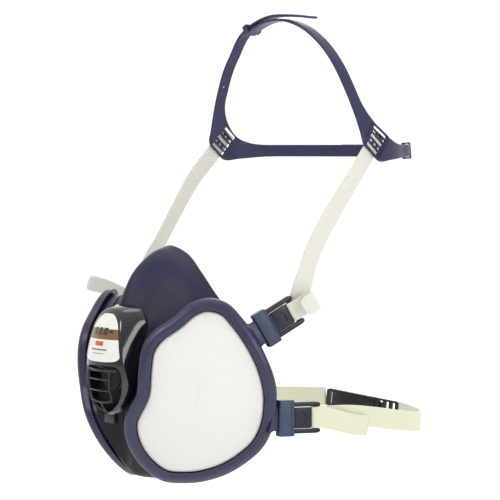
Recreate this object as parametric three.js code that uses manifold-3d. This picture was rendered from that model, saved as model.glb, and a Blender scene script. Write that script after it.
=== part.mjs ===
// Half-mask respirator with two side filters, a front exhalation valve and a two-part harness.
// Millimetres, +Z up, the valve cover faces -Y, +X is the wearer's left.
// The origin is the middle of the opening that meets the face.
import * as THREE from 'three';
import { mergeVertices } from 'three/addons/utils/BufferGeometryUtils.js';
import Module from 'manifold-3d';

const wasm = await Module();
wasm.setup();

// ---------------------------------------------------------------- driving dimensions
const GAP = 0.35; // clearance between neighbouring pieces

const FILTER_AT = [46.8, -39, -8]; // middle of the left filter's front surface
const FILTER_TURN = 52; // degrees that each filter looks outward from straight ahead
const FILTER_BEND_ACROSS = 0.002; // how fast the filter curves back across its width, 1/mm
const FILTER_BEND_DOWN = 0.0063; // how fast it curves back over its height, 1/mm
const FILTER_CREST = 14; // height on the filter where the downward curve is flattest
const FILTER_OUTLINE = [
  [4, 49], [15, 46.5], [23, 38.5], [31, 27], [37, 14.5], [40.5, 0], [39.5, -17],
  [34.5, -29.5], [26.5, -38], [15.5, -45.5], [3.5, -49.8], [-8, -51], [-19, -49.5],
  [-30, -40.5], [-37, -28], [-38.5, -15.5], [-35.5, -7.5], [-32, -0.5], [-31, 11.5],
  [-29, 24], [-23.5, 32], [-13, 39.5], [-5, 46],
];
const RIM_WIDTH = 6.4; // band of the rim that frames the fleece
const RIM_FRONT = 1.8; // how far the rim stands in front of the filter surface
const RIM_SKIRT = 3.4; // how far the rim's outer skirt reaches back
const TRAY_INSET = 3.25; // the tray's wall stands this far inside the rim's outline
const TRAY_WALL = 1.4;
const TRAY_BACK = 9; // depth of the tray's back behind the filter surface
const FLEECE_DOME = 3.2; // extra height of the fleece at its middle

const PORT_AT = [3, -6]; // inhalation port on the filter, across and up
const PORT_RADIUS = 10;
const SEAT_FRONT = -7.6; // inhalation seat's depths on the filter
const SEAT_BACK = -12.4;
const SEAT_BORE = 7.6; // radius of the opening in both kinds of valve seat
const SEAT_BAR = 1.9; // width of the cross bars that carry the flap's stud
const SEAT_BAR_SPAN = 15.8;
const FLAP_THICK = 0.7;
const INHALATION_FLAP_RADIUS = 9.2;
const EXHALATION_FLAP_RADIUS = 9;
const SKIN = 2.2; // facepiece wall
const VALVE_RADIUS = 9.5; // exhalation valve seat

const COVER_FRONT = -65; // y of the valve cover's front face
const COVER_BOTTOM = -24.5;
const COVER_TOP = 35.5;
const COVER_HALF_WIDTH = 17.6;
const COVER_WALL = 1.8;

const STRAP_WIDTH = 11;
const STRAP_THICK = 1.2;
const BAR_RADIUS = 1.5; // the buckle bar that a strap turns round

const BUCKLE_WIDTH = 19;
const BUCKLE_BLOCK = 8.5; // length of the solid block next to the lug
const BUCKLE_THICK = 6;
const BUCKLE_BAR_WIDTH = 16.4; // outside width at the strap bar
const BUCKLE_REACH = 24; // lug face to the middle of the strap bar
const RAIL_WIDTH = 2.4;
const LEVER_WIDTH = 10.6;
const PIN_RADIUS = 0.9;
const UPPER_BUCKLE = { at: [60.8, -11.5, 22.4], along: [0.27, 0.83, 0.49], out: [0.93, -0.36, 0.08] };
const LOWER_BUCKLE = { at: [64.4, -3.1, -22], along: [0.3, 0.95, -0.02], out: [0.94, -0.32, 0.05] };

const CRADLE_THICK = 1.4;
const CRADLE_ARM = 8; // width of the crown arm
const CRADLE_REAR = [-9.6, -2.6]; // lower and upper edge of the rear arm
const CRADLE_KNEE = [66, 64, 123]; // where crown and rear curves meet on the side of the head
const CROWN_POINTS = [
  [66, 64, 123], [60.3, 61.3, 138], [54.8, 59.8, 150], [46, 58.2, 165], [34.5, 57.2, 177],
  [19, 56.6, 186.2], [0, 56.3, 190],
];
const REAR_RADII = [66.1, 58.5]; // the rear curve is an ellipse in plan
const REAR_CENTRE_Y = 66.5;
const LAYER = 2.4; // how far the outer arm lies above the inner one where they overlap
const TAIL_RISE = 0.0075; // how fast the crown's free tail leaves the arch, 1/mm

const CLASP_LEFT = [25.3, 125.3, -33]; // ends of the neck clasp
const CLASP_RIGHT = [-22, 113.1, -28.3];

// ---------------------------------------------------------------- finishes
const finish = (color, roughness, metalness = 0) =>
  new THREE.MeshStandardMaterial({ color, roughness, metalness });
const NAVY = () => finish(0x34365a, 0.5);
const NAVY_SOFT = () => finish(0x3a3b58, 0.6);
const BLUE_GREY = () => finish(0x46566e, 0.4);
const BLACK = () => finish(0x17181b, 0.2);
const BLACK_MATT = () => finish(0x26272b, 0.55);
const FLEECE = () => finish(0xecebe8, 0.95);
const CARBON = () => finish(0x1a1a1a, 0.9);
const SILICONE = () => finish(0x1c1c1e, 0.6);
const ELASTIC = () => finish(0xe9e8da, 0.85);
const PAPER = () => finish(0xf0f0e3, 0.45);
const STEEL = () => finish(0xb4b7bb, 0.3, 1);

// ---------------------------------------------------------------- shape helpers
const vec = (p) => new THREE.Vector3(...p);
const mirrorPoint = ([x, y, z]) => [-x, y, z];

/** Closed solid through rings of equal count. closed joins the last ring to the first. */
function loft(rings, closed = false) {
  const count = rings[0].length;
  const vertices = rings.flat();
  const faces = [];
  const spans = closed ? rings.length : rings.length - 1;
  for (let r = 0; r < spans; r += 1) {
    const low = r * count;
    const high = ((r + 1) % rings.length) * count;
    for (let i = 0; i < count; i += 1) {
      const j = (i + 1) % count;
      faces.push(low + i, low + j, high + j, low + i, high + j, high + i);
    }
  }
  if (!closed) {
    capRing(vertices, faces, rings[0], 0, true);
    capRing(vertices, faces, rings.at(-1), (rings.length - 1) * count, false);
  }
  return indexed(vertices, faces);
}

/** Adds a fan from the ring's middle, looking back along the loft when first is true. */
function capRing(vertices, faces, ring, start, first) {
  const middle = ring.reduce((sum, p) => sum.add(p), new THREE.Vector3()).divideScalar(ring.length);
  vertices.push(middle);
  const hub = vertices.length - 1;
  ring.forEach((_, i) => {
    const j = (i + 1) % ring.length;
    faces.push(...(first ? [hub, start + j, start + i] : [hub, start + i, start + j]));
  });
}

/** Indexed geometry that faces outward, whichever way its rings ran. */
function indexed(vertices, faces) {
  const geometry = new THREE.BufferGeometry().setFromPoints(vertices);
  geometry.setIndex(signedVolume(vertices, faces) < 0 ? turned(faces) : faces);
  return geometry;
}

function signedVolume(vertices, faces) {
  let volume = 0;
  for (let f = 0; f < faces.length; f += 3) {
    const [a, b, c] = [vertices[faces[f]], vertices[faces[f + 1]], vertices[faces[f + 2]]];
    volume += a.dot(b.clone().cross(c));
  }
  return volume;
}

function turned(faces) {
  const result = [];
  for (let f = 0; f < faces.length; f += 3) {
    result.push(faces[f], faces[f + 2], faces[f + 1]);
  }
  return result;
}

/** Bare indexed copy: positions only, shared corners merged. */
function bare(geometry) {
  const copy = geometry.clone();
  copy.deleteAttribute('normal');
  copy.deleteAttribute('uv');
  return mergeVertices(copy, 1e-4);
}

/** The same shape on the other side of the middle plane when side is -1. */
function onSide(geometry, side) {
  const copy = bare(geometry);
  if (side === 1) {
    return copy;
  }
  copy.scale(-1, 1, 1);
  copy.setIndex(turned([...copy.index.array]));
  return copy;
}

function toSolid(geometry) {
  const clean = bare(geometry);
  return new wasm.Manifold(new wasm.Mesh({
    numProp: 3,
    vertProperties: new Float32Array(clean.attributes.position.array),
    triVerts: new Uint32Array(clean.index.array),
  }));
}

function fromSolid(solid) {
  const mesh = solid.getMesh();
  const geometry = new THREE.BufferGeometry();
  geometry.setAttribute('position', new THREE.BufferAttribute(mesh.vertProperties, 3));
  geometry.setIndex(new THREE.BufferAttribute(mesh.triVerts, 1));
  return geometry;
}

const joinAll = (geometries) => geometries.map(toSolid).reduce((whole, next) => whole.add(next));
const cutAll = (solid, geometries) => geometries.reduce((left, g) => left.subtract(toSolid(g)), solid);

/** The biggest body of a solid that a cut left in pieces. */
function largest(solid) {
  return solid.decompose().reduce((best, next) => (next.volume() > best.volume() ? next : best));
}

function box(width, length, height, x = 0, y = 0, z = 0) {
  return new THREE.BoxGeometry(width, length, height).translate(x, y, z);
}

/** Cylinder along x, y or z. */
function rod(radius, length, axis, x = 0, y = 0, z = 0, sides = 20) {
  const geometry = new THREE.CylinderGeometry(radius, radius, length, sides);
  if (axis === 'x') {
    geometry.rotateZ(Math.PI / 2);
  }
  if (axis === 'z') {
    geometry.rotateX(Math.PI / 2);
  }
  return geometry.translate(x, y, z);
}

/** Rounded rectangle, as a shape or a hole. */
function roundedPath(width, height, radius, path = new THREE.Shape(), cx = 0, cy = 0) {
  const [w, h] = [width / 2, height / 2];
  path.moveTo(cx - w + radius, cy - h);
  path.absarc(cx + w - radius, cy - h + radius, radius, -Math.PI / 2, 0);
  path.absarc(cx + w - radius, cy + h - radius, radius, 0, Math.PI / 2);
  path.absarc(cx - w + radius, cy + h - radius, radius, Math.PI / 2, Math.PI);
  path.absarc(cx - w + radius, cy - h + radius, radius, Math.PI, Math.PI * 1.5);
  return path;
}

function plate(shape, thickness, curveSegments = 4) {
  return new THREE.ExtrudeGeometry(shape, { depth: thickness, bevelEnabled: false, curveSegments });
}

/** Flat band along a curve. across gives the direction of its width, shift a move along its face. */
function band({ points, across, width, thickness = STRAP_THICK, steps }) {
  const curve = new THREE.CatmullRomCurve3(points.map(vec), false, 'centripetal');
  const sides = across.length > 1
    ? new THREE.CatmullRomCurve3(across.map(vec), false, 'centripetal')
    : { getPoint: () => vec(across[0]) };
  const rings = [];
  for (let s = 0; s <= steps; s += 1) {
    const middle = curve.getPoint(s / steps);
    const along = curve.getTangent(s / steps);
    const side = sides.getPoint(s / steps);
    side.addScaledVector(along, -side.dot(along)).setLength(width / 2);
    const face = along.clone().cross(side).setLength(thickness / 2);
    rings.push([[1, 1], [-1, 1], [-1, -1], [1, -1]].map(([u, v]) =>
      middle.clone().addScaledVector(side, u).addScaledVector(face, v)));
  }
  return loft(rings);
}

/** Group whose local y runs along and whose local z looks out. */
function frameGroup(at, along, out) {
  const group = new THREE.Group();
  const y = vec(along).normalize();
  const z = vec(out);
  z.addScaledVector(y, -z.dot(y)).normalize();
  const x = y.clone().cross(z);
  group.setRotationFromMatrix(new THREE.Matrix4().makeBasis(x, y, z));
  group.position.copy(vec(at));
  group.updateMatrixWorld(true);
  return group;
}

// ---------------------------------------------------------------- assembly
const respirator = new THREE.Group();

function addPart(name, geometry, material, parent = respirator) {
  const mesh = new THREE.Mesh(geometry, material);
  mesh.name = name;
  parent.add(mesh);
  return mesh;
}

const SIDES = [['left', 1], ['right', -1]];

// ---------------------------------------------------------------- filters
const outlineCurve = new THREE.CatmullRomCurve3(
  FILTER_OUTLINE.map(([x, y]) => new THREE.Vector3(x, y, 0)), true, 'centripetal');
const OUTLINE_STEPS = 28;

/** Ring round the filter, moved in from its outline, then shrunk toward its middle. */
function filterRing(inset, depth, scale = 1) {
  const ring = [];
  for (let i = 0; i < OUTLINE_STEPS; i += 1) {
    const at = outlineCurve.getPointAt(i / OUTLINE_STEPS);
    const along = outlineCurve.getTangentAt(i / OUTLINE_STEPS);
    const x = (at.x + along.y * inset) * scale;
    const y = (at.y - along.x * inset) * scale;
    ring.push(onFilter(x, y, depth));
  }
  return ring;
}

/** Point on the curved filter, depth measured forward from its surface. */
function onFilter(x, y, depth) {
  const back = FILTER_BEND_ACROSS * x * x + FILTER_BEND_DOWN * (y - FILTER_CREST) ** 2;
  return new THREE.Vector3(x, y, depth - back);
}

const INNER_RINGS = [0.35, 0.7];

/** Solid disc of the filter's outline between two depths, with an optional dome. */
function filterDisc(inset, back, front, dome = 0) {
  const domed = (scale) => front + dome * (1 - scale ** 2);
  const rings = [
    ...INNER_RINGS.map((s) => filterRing(inset, back, s)),
    filterRing(inset, back),
    filterRing(inset, front),
    ...[...INNER_RINGS].reverse().map((s) => filterRing(inset, domed(s), s)),
  ];
  return loft(rings);
}

/** Ring of the filter's outline whose section is a list of [inset, depth]. */
const filterHoop = (section) => loft(section.map(([inset, depth]) => filterRing(inset, depth)), true);

/** Everything a filter takes up, grown by a margin. */
function filterEnvelope(margin) {
  const rim = filterDisc(-margin, -RIM_SKIRT - margin, RIM_FRONT + margin, FLEECE_DOME);
  const tray = filterDisc(TRAY_INSET - margin, -TRAY_BACK - margin, -RIM_SKIRT);
  return fromSolid(joinAll([rim, tray]));
}

function filterGroup(side) {
  const turn = THREE.MathUtils.degToRad(FILTER_TURN) * side;
  const out = [Math.sin(turn), -Math.cos(turn), 0];
  return frameGroup([side * FILTER_AT[0], FILTER_AT[1], FILTER_AT[2]], [0, 0, 1], out);
}

const portCentre = onFilter(PORT_AT[0], PORT_AT[1], 0);
const portRod = (radius, back, front, sides = 24) => rod(
  radius, front - back, 'z', portCentre.x, portCentre.y, portCentre.z + (front + back) / 2, sides);

function filterRim() {
  return filterHoop([
    [0, -RIM_SKIRT], [0, 0.2], [1.4, 1.5], [3.2, RIM_FRONT], [5, 1.2], [RIM_WIDTH, -0.2],
    [RIM_WIDTH, -1.8], [2.9, -2.2], [2.9, -RIM_SKIRT],
  ]);
}

function filterTray() {
  const floor = filterDisc(TRAY_INSET, -TRAY_BACK, -TRAY_BACK + 1.5);
  const inner = TRAY_INSET + TRAY_WALL;
  const wall = filterHoop([
    [TRAY_INSET, -TRAY_BACK + 0.5], [TRAY_INSET, -2.7], [inner, -2.7], [inner, -TRAY_BACK + 0.5],
  ]);
  return fromSolid(cutAll(joinAll([floor, wall]), [portRod(PORT_RADIUS + GAP, -14, -4)]));
}

/** Port ring with a cross that carries the flap's stud. */
function inhalationSeat() {
  const bore = portRod(SEAT_BORE, SEAT_BACK - 1, SEAT_FRONT + 1);
  const ring = toSolid(portRod(PORT_RADIUS, SEAT_BACK, SEAT_FRONT)).subtract(toSolid(bore));
  const bars = [0, 1].map((turn) => {
    const bar = box(turn ? SEAT_BAR : SEAT_BAR_SPAN, turn ? SEAT_BAR_SPAN : SEAT_BAR, 1.6);
    return bar.translate(portCentre.x, portCentre.y, portCentre.z - 11.2);
  });
  return fromSolid(bars.reduce((whole, bar) => whole.add(toSolid(bar)), ring));
}

for (const [name, side] of SIDES) {
  const group = filterGroup(side);
  const piece = (label, geometry, material) =>
    addPart(`${label}_${name}`, onSide(geometry, side), material, group);
  const bed = toSolid(filterDisc(TRAY_INSET + TRAY_WALL + GAP, -TRAY_BACK + 1.5 + GAP, -2.7))
    .subtract(toSolid(portRod(PORT_RADIUS + GAP, -13, SEAT_FRONT + GAP)));
  piece('filter_rim', filterRim(), NAVY());
  piece('filter_fleece', filterDisc(RIM_WIDTH + GAP, -2.3, -0.6, FLEECE_DOME), FLEECE());
  piece('carbon_bed', fromSolid(bed), CARBON());
  piece('filter_tray', filterTray(), NAVY());
  piece('inhalation_seat', inhalationSeat(), BLACK_MATT());
  const flapFront = SEAT_BACK - GAP;
  piece('inhalation_flap', portRod(INHALATION_FLAP_RADIUS, flapFront - FLAP_THICK, flapFront), SILICONE());
  respirator.add(group);
}

/** Both filters' envelopes in the mask's own frame. */
const filterRoom = (margin) => SIDES.map(([, side]) =>
  onSide(filterEnvelope(margin), side).applyMatrix4(filterGroup(side).matrixWorld));
const portRoom = (radius, back, front) => SIDES.map(([, side]) =>
  onSide(portRod(radius, back, front), side).applyMatrix4(filterGroup(side).matrixWorld));

// ---------------------------------------------------------------- facepiece
// Left halves of the rings from the face seal forward, each from nose to chin.
const SEAL = [
  [0, -21, 66.5], [12, -19, 62.5], [24, -19, 53], [36, -17, 40], [46, -8, 25], [54, 1, 8], [57, 5, -9],
  [54, 4, -25], [46, -4, -39], [32, -13, -50], [16, -21, -56], [0, -24, -58],
];
const MIDDLE = [
  [0, -31.5, 63], [12, -28, 58.5], [23, -26.5, 50.5], [34, -26.5, 38], [43, -26, 22], [50, -19, 5],
  [51, -16, -10], [47, -17, -26], [38, -22, -40], [26, -29, -50], [13, -34, -56], [0, -36, -57.5],
];
const FRONT = [
  [0, -45.3, 52.5], [8.5, -40.5, 49], [15.5, -38.5, 42.5], [22, -41, 33], [24, -49.5, 20], [24, -53, 5],
  [23, -54, -8], [20.5, -55, -20], [17, -53, -32], [13, -49, -43], [7.5, -46, -51], [0, -45, -55],
];
const NOSE = [
  [0, -54, 36], [7, -52, 33.5], [10, -53.5, 28], [11.5, -55.5, 18], [12, -57, 6], [12.5, -57.5, -3],
  [13.5, -58.5, -10], [13, -60, -19], [10.5, -59, -29], [8, -55.5, -38], [5, -51, -46], [0, -48.5, -51.5],
];

/** Whole ring from its left half, drawn in toward the middle line and moved back. */
function faceRing(half, inset = 0, back = 0) {
  const whole = [...half, ...half.slice(1, -1).reverse().map(mirrorPoint)];
  return whole.map(([x, y, z]) => {
    const reach = Math.hypot(x, z);
    const keep = (reach - inset) / reach;
    return new THREE.Vector3(x * keep, y + back, z * keep);
  });
}

function facepiece() {
  const outside = loft([faceRing(SEAL), faceRing(MIDDLE), faceRing(FRONT), faceRing(NOSE)]);
  const inside = loft([
    faceRing(SEAL, 10, 12), faceRing(SEAL, 9, -2), faceRing(SEAL, 4, -3.5), faceRing(MIDDLE, SKIN + 0.6),
    faceRing(FRONT, SKIN, 1.5), faceRing(NOSE, SKIN, SKIN),
  ]);
  const pockets = filterRoom(SKIN);
  const cavity = cutAll(toSolid(inside), pockets);
  const shell = cutAll(toSolid(outside).subtract(cavity), filterRoom(GAP));
  const ports = portRoom(PORT_RADIUS + GAP, -16, -6);
  return fromSolid(largest(cutAll(shell, [...ports, rod(VALVE_RADIUS + GAP, 20, 'y', 0, -56, 0, 28)])));
}
addPart('facepiece', facepiece(), NAVY_SOFT());

// ---------------------------------------------------------------- exhalation valve
const VALVE_FACE = -59.6; // y of the seat's sealing edge

function exhalationSeat() {
  const ring = toSolid(rod(VALVE_RADIUS, 4.6, 'y', 0, VALVE_FACE + 2.3, 0, 28));
  const bore = rod(SEAT_BORE, 10, 'y', 0, VALVE_FACE + 2.3, 0, 28);
  const bars = [box(SEAT_BAR_SPAN, 1.6, SEAT_BAR), box(SEAT_BAR, 1.6, SEAT_BAR_SPAN)]
    .map((bar) => bar.translate(0, VALVE_FACE + 2.4, 0));
  return fromSolid(bars.reduce((whole, bar) => whole.add(toSolid(bar)), cutAll(ring, [bore])));
}
addPart('exhalation_seat', exhalationSeat(), BLACK_MATT());
addPart('exhalation_flap', rod(
  EXHALATION_FLAP_RADIUS, FLAP_THICK, 'y', 0, VALVE_FACE - FLAP_THICK / 2 - GAP, 0, 28), SILICONE());

/** Outline of the cover seen from the front, with round shoulders and a narrower chin. */
function coverOutline(inset) {
  const w = COVER_HALF_WIDTH - inset;
  const [low, high] = [COVER_BOTTOM + inset, COVER_TOP - inset];
  const shape = new THREE.Shape();
  shape.moveTo(-w + 6, low);
  shape.lineTo(w - 6, low);
  shape.quadraticCurveTo(w - 0.5, low, w, low + 8);
  shape.lineTo(w, high - 14);
  shape.quadraticCurveTo(w - 1, high, w - 11, high);
  shape.lineTo(-w + 11, high);
  shape.quadraticCurveTo(-w + 1, high, -w, high - 14);
  shape.lineTo(-w, low + 8);
  shape.quadraticCurveTo(-w + 0.5, low, -w + 6, low);
  return shape;
}

/** Block of the cover's outline from its front face back to y. */
function coverBlock(inset, front, back) {
  return plate(coverOutline(inset), back - front, 5).rotateX(Math.PI / 2).translate(0, back, 0);
}

const GRILLE_Z = [-18, 1.5]; // lowest and highest edge of the grille opening
const GRILLE_WIDTH = 19;
const LABEL = { width: 27.5, low: 8.7, high: 32, thick: 0.5 };

function valveCover() {
  const lean = 16; // the side walls reach back this far behind the front face
  const outer = toSolid(coverBlock(0, COVER_FRONT, COVER_FRONT + lean));
  const inner = coverBlock(COVER_WALL, COVER_FRONT + COVER_WALL, COVER_FRONT + lean + 1);
  const height = (GRILLE_Z[1] - GRILLE_Z[0]) / 3;
  const slots = [0, 1, 2].map((i) =>
    box(GRILLE_WIDTH, 8, height - 1.8, 0, COVER_FRONT, GRILLE_Z[0] + height * (i + 0.5)));
  const faceRoom = loft([
    faceRing(SEAL), faceRing(MIDDLE, -GAP), faceRing(FRONT, -GAP, -GAP), faceRing(NOSE, -GAP, -GAP),
  ]);
  const cuts = [inner, ...slots, faceRoom, ...filterRoom(GAP)];
  return fromSolid(largest(cutAll(outer, cuts)));
}

addPart('valve_cover', valveCover(), BLACK());

const labelShape = roundedPath(
  LABEL.width, LABEL.high - LABEL.low, 4, new THREE.Shape(), 0, (LABEL.high + LABEL.low) / 2);
addPart('cover_label', plate(labelShape, LABEL.thick).rotateX(Math.PI / 2)
  .translate(0, COVER_FRONT - GAP, 0), PAPER());

// ---------------------------------------------------------------- buckles
const LEVER_PIVOT_Y = BUCKLE_BLOCK + 2;

/** Frame with a block cut to sit on the rim, two rails and the bar that the strap turns round. */
function buckleFrame(group) {
  const half = BUCKLE_BAR_WIDTH / 2;
  const railLength = BUCKLE_REACH - BUCKLE_BLOCK + 2;
  const railY = BUCKLE_BLOCK + railLength / 2 - 1;
  const rails = [-1, 1].map((s) =>
    box(RAIL_WIDTH, railLength, 3.2, s * (half - RAIL_WIDTH / 2), railY, 0));
  const parts = [
    box(BUCKLE_WIDTH, BUCKLE_BLOCK, BUCKLE_THICK, 0, BUCKLE_BLOCK / 2, 0),
    box(9, 6, 3.4, 0, -2.6, 0),
    rod(BAR_RADIUS, BUCKLE_BAR_WIDTH - 0.2, 'x', 0, BUCKLE_REACH, 0, 12),
    ...rails,
  ];
  const pinHole = rod(PIN_RADIUS + 0.2, BUCKLE_WIDTH + 2, 'x', 0, LEVER_PIVOT_Y, 0, 10);
  const frame = fromSolid(cutAll(joinAll(parts), [pinHole])).applyMatrix4(group.matrixWorld);
  return fromSolid(largest(cutAll(toSolid(frame), filterRoom(GAP))));
}

/** Thumb plate between the rails, with its knuckle on the pin and a raised grip. */
function buckleLever() {
  const parts = [
    box(LEVER_WIDTH, 9.6, 1.8, 0, LEVER_PIVOT_Y + 4.8, 0.9),
    rod(1.75, LEVER_WIDTH, 'x', 0, LEVER_PIVOT_Y, 0, 12),
    box(LEVER_WIDTH - 3.4, 1.2, 0.9, 0, LEVER_PIVOT_Y + 7.2, 2.1),
  ];
  return fromSolid(cutAll(joinAll(parts), [rod(PIN_RADIUS + 0.2, 20, 'x', 0, LEVER_PIVOT_Y, 0, 10)]));
}

/** Where a buckle sits on one side of the mask. */
function buckleGroup({ at, along, out }, side) {
  const flip = (p) => (side === 1 ? p : mirrorPoint(p));
  return frameGroup(flip(at), flip(along), flip(out));
}

for (const [level, placing] of [['upper', UPPER_BUCKLE], ['lower', LOWER_BUCKLE]]) {
  for (const [name, side] of SIDES) {
    const group = buckleGroup(placing, side);
    addPart(`buckle_frame_${level}_${name}`, buckleFrame(group), BLUE_GREY());
    addPart(`buckle_lever_${level}_${name}`, buckleLever(), NAVY(), group);
    const pin = rod(PIN_RADIUS, BUCKLE_BAR_WIDTH - 0.4, 'x', 0, LEVER_PIVOT_Y, 0, 10);
    addPart(`buckle_pin_${level}_${name}`, pin, STEEL(), group);
    respirator.add(group);
  }
}

// ---------------------------------------------------------------- head cradle
const crownCurve = new THREE.CatmullRomCurve3([
  ...CROWN_POINTS.map(vec), ...CROWN_POINTS.slice(0, -1).reverse().map(mirrorPoint).map(vec),
], false, 'centripetal');
const crownLength = crownCurve.getLength();
const CROWN_TOP = crownLength / 2;
const cornerDown = new THREE.Vector3(0, -0.1, 0.99); // the sheet's slope below the knee
const rearStart = Math.asin((REAR_CENTRE_Y - CRADLE_KNEE[1]) / REAR_RADII[1]);

/** Displacement from the knee along the crown, by distance up. */
function crownReach(up) {
  if (up <= 0) {
    return cornerDown.clone().multiplyScalar(up);
  }
  return crownCurve.getPointAt(Math.min(up / crownLength, 1)).sub(vec(CRADLE_KNEE));
}

/** Displacement from the knee round the back of the head, by distance along. */
function rearReach(along) {
  const angle = along / ((REAR_RADII[0] + REAR_RADII[1]) / 2) - rearStart;
  const start = [REAR_RADII[0] * Math.cos(-rearStart), REAR_RADII[1] * Math.sin(-rearStart)];
  const now = [REAR_RADII[0] * Math.cos(angle), REAR_RADII[1] * Math.sin(angle)];
  return new THREE.Vector3(now[0] - start[0], now[1] - start[1], 0);
}

/** Point of the cradle's sheet: distance back, distance up, height above the sheet. */
function onCradle(along, up, height = 0) {
  const at = (a, u) => vec(CRADLE_KNEE).add(crownReach(u)).add(rearReach(a));
  const middle = at(along, up);
  const back = at(along + 0.5, up).sub(middle);
  const higher = at(along, up + 0.5).sub(middle);
  return middle.addScaledVector(back.cross(higher).normalize(), height);
}

const smooth = THREE.MathUtils.smoothstep;
// Inner edge and outer edge of the corner between the two arms, as [back, up] pairs.
const CORNER = [
  [[4, 24], [-4, 24]], [[5, 18.5], [-4.2, 14]], [[7.5, 12.5], [-4.8, 6]], [[11.5, 6.5], [-5.4, -2]],
  [[14.5, 3.4], [0, -6.9]], [[18.5, 0.6], [5.4, -11.6]], [[26, -1.8], [17, -11]],
  [[35, -2.6], [33, -9.8]],
];

/** One half of the cradle. outerArm names the arm that lies on top where the halves overlap. */
function cradleHalf(outerArm, crownEnd, rearEnd) {
  const rings = [];
  const addRing = (inner, outer, lift) => {
    const low = lift - CRADLE_THICK / 2;
    const high = lift + CRADLE_THICK / 2;
    rings.push([
      onCradle(...inner, high), onCradle(...outer, high), onCradle(...outer, low), onCradle(...inner, low),
    ]);
  };
  const crownSteps = Math.round((crownEnd - 24) / 8);
  for (let s = crownSteps; s > 0; s -= 1) {
    const up = 24 + ((crownEnd - 24) * s) / crownSteps;
    const past = Math.max(0, up - CROWN_TOP);
    const rise = LAYER * smooth(up, CROWN_TOP - 48, CROWN_TOP - 30) + TAIL_RISE * past * past;
    const lift = outerArm === 'crown' ? rise : 0;
    addRing([CRADLE_ARM / 2, up], [-CRADLE_ARM / 2, up], lift);
  }
  CORNER.forEach(([inner, outer]) => addRing(inner, outer, 0));
  const rearSteps = Math.round((rearEnd - 35) / 7);
  for (let s = 1; s <= rearSteps; s += 1) {
    const along = 34 + ((rearEnd - 34) * s) / rearSteps;
    const lift = outerArm === 'rear' ? LAYER * smooth(along, 34, 47) : 0;
    addRing([along, CRADLE_REAR[1]], [along, CRADLE_REAR[0]], lift);
  }
  return loft(rings);
}

const LADDER = { at: [4, -2], along: [0.7, 0.714], slots: [-3.6, 2.2, 8], width: 10.6, slot: 2.5 };

/** Local frame of the strap ladder on a cradle corner: y along the strap, z outward. */
function ladderGroup() {
  const step = (d) => onCradle(LADDER.at[0] + LADDER.along[0] * d, LADDER.at[1] + LADDER.along[1] * d);
  const along = step(3).sub(step(0));
  const side = onCradle(LADDER.at[0] + 2, LADDER.at[1]).sub(step(0));
  const up = onCradle(LADDER.at[0], LADDER.at[1] + 2).sub(step(0));
  return frameGroup(step(0).toArray(), along.toArray(), side.cross(up).toArray());
}

function ladderCuts() {
  const slots = LADDER.slots.map((y) => box(LADDER.width, LADDER.slot, 8, 0, y, 0));
  const windows = [0, 1].flatMap((row) => [-3.6, 0, 3.6].map((x) =>
    box(2.7, 1.9, 8, x, (LADDER.slots[row] + LADDER.slots[row + 1]) / 2, 0)));
  return [...slots, ...windows].map((g) => g.applyMatrix4(ladderGroup().matrixWorld));
}

const KEEPER_WIDTH = 10.4;
const KEEPER_LENGTH = 3.6;
const KEEPER_SLACK = 0.35; // room above the arm inside the loop
const KEEPER_WALL = 0.8;

/** Loop at an arm's end that the other half's arm runs through. */
function keeper(along, up, axis) {
  const at = onCradle(along, up, 0);
  const ahead = axis === 'crown' ? onCradle(along, up + 1, 0) : onCradle(along + 1, up, 0);
  const out = onCradle(along, up, 1).sub(at);
  const group = frameGroup(at.toArray(), ahead.sub(at).toArray(), out.toArray());
  const low = -CRADLE_THICK / 2;
  const windowLow = low + CRADLE_THICK + 0.1;
  const windowHigh = LAYER + CRADLE_THICK / 2 + KEEPER_SLACK;
  const high = windowHigh + KEEPER_WALL;
  const ring = toSolid(box(KEEPER_WIDTH, KEEPER_LENGTH, high - low, 0, 0, (high + low) / 2)).subtract(toSolid(
    box(KEEPER_WIDTH - 2 * KEEPER_WALL, 9, windowHigh - windowLow, 0, 0, (windowHigh + windowLow) / 2)));
  return fromSolid(ring).applyMatrix4(group.matrixWorld);
}

const CROWN_KEEPER = CROWN_TOP + 27;
const CROWN_TAIL = CROWN_TOP + 25;
const REAR_SPAN = (REAR_RADII[0] + REAR_RADII[1]) / 2;
const REAR_TAIL = REAR_SPAN * (1.9 + rearStart);
const REAR_KEEPER = REAR_SPAN * (Math.PI - 0.84 + rearStart);

const leftHalf = cutAll(joinAll([
  cradleHalf('rear', CROWN_KEEPER, REAR_TAIL), keeper(0, CROWN_KEEPER - 2.6, 'crown'),
]), ladderCuts());
const rearMiddle = (CRADLE_REAR[0] + CRADLE_REAR[1]) / 2;
const rightHalf = cutAll(joinAll([
  cradleHalf('crown', CROWN_TAIL, REAR_KEEPER), keeper(REAR_KEEPER - 2.6, rearMiddle, 'rear'),
]), ladderCuts());
addPart('cradle_half_left', fromSolid(leftHalf), NAVY());
addPart('cradle_half_right', onSide(fromSolid(rightHalf), -1), NAVY());

// ---------------------------------------------------------------- neck clasp
const claspLine = vec(CLASP_LEFT).sub(vec(CLASP_RIGHT));
const claspHalf = claspLine.length() / 2;
const claspMiddle = vec(CLASP_LEFT).add(vec(CLASP_RIGHT)).multiplyScalar(0.5);
const claspOut = [-claspLine.y, claspLine.x, 0];
const claspGroup = () => frameGroup(claspMiddle.toArray(), claspLine.toArray(), claspOut);
const CLASP_WIDTH = 10.5;
const SOCKET_START = claspHalf - 16; // where the socket begins along the clasp

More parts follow.
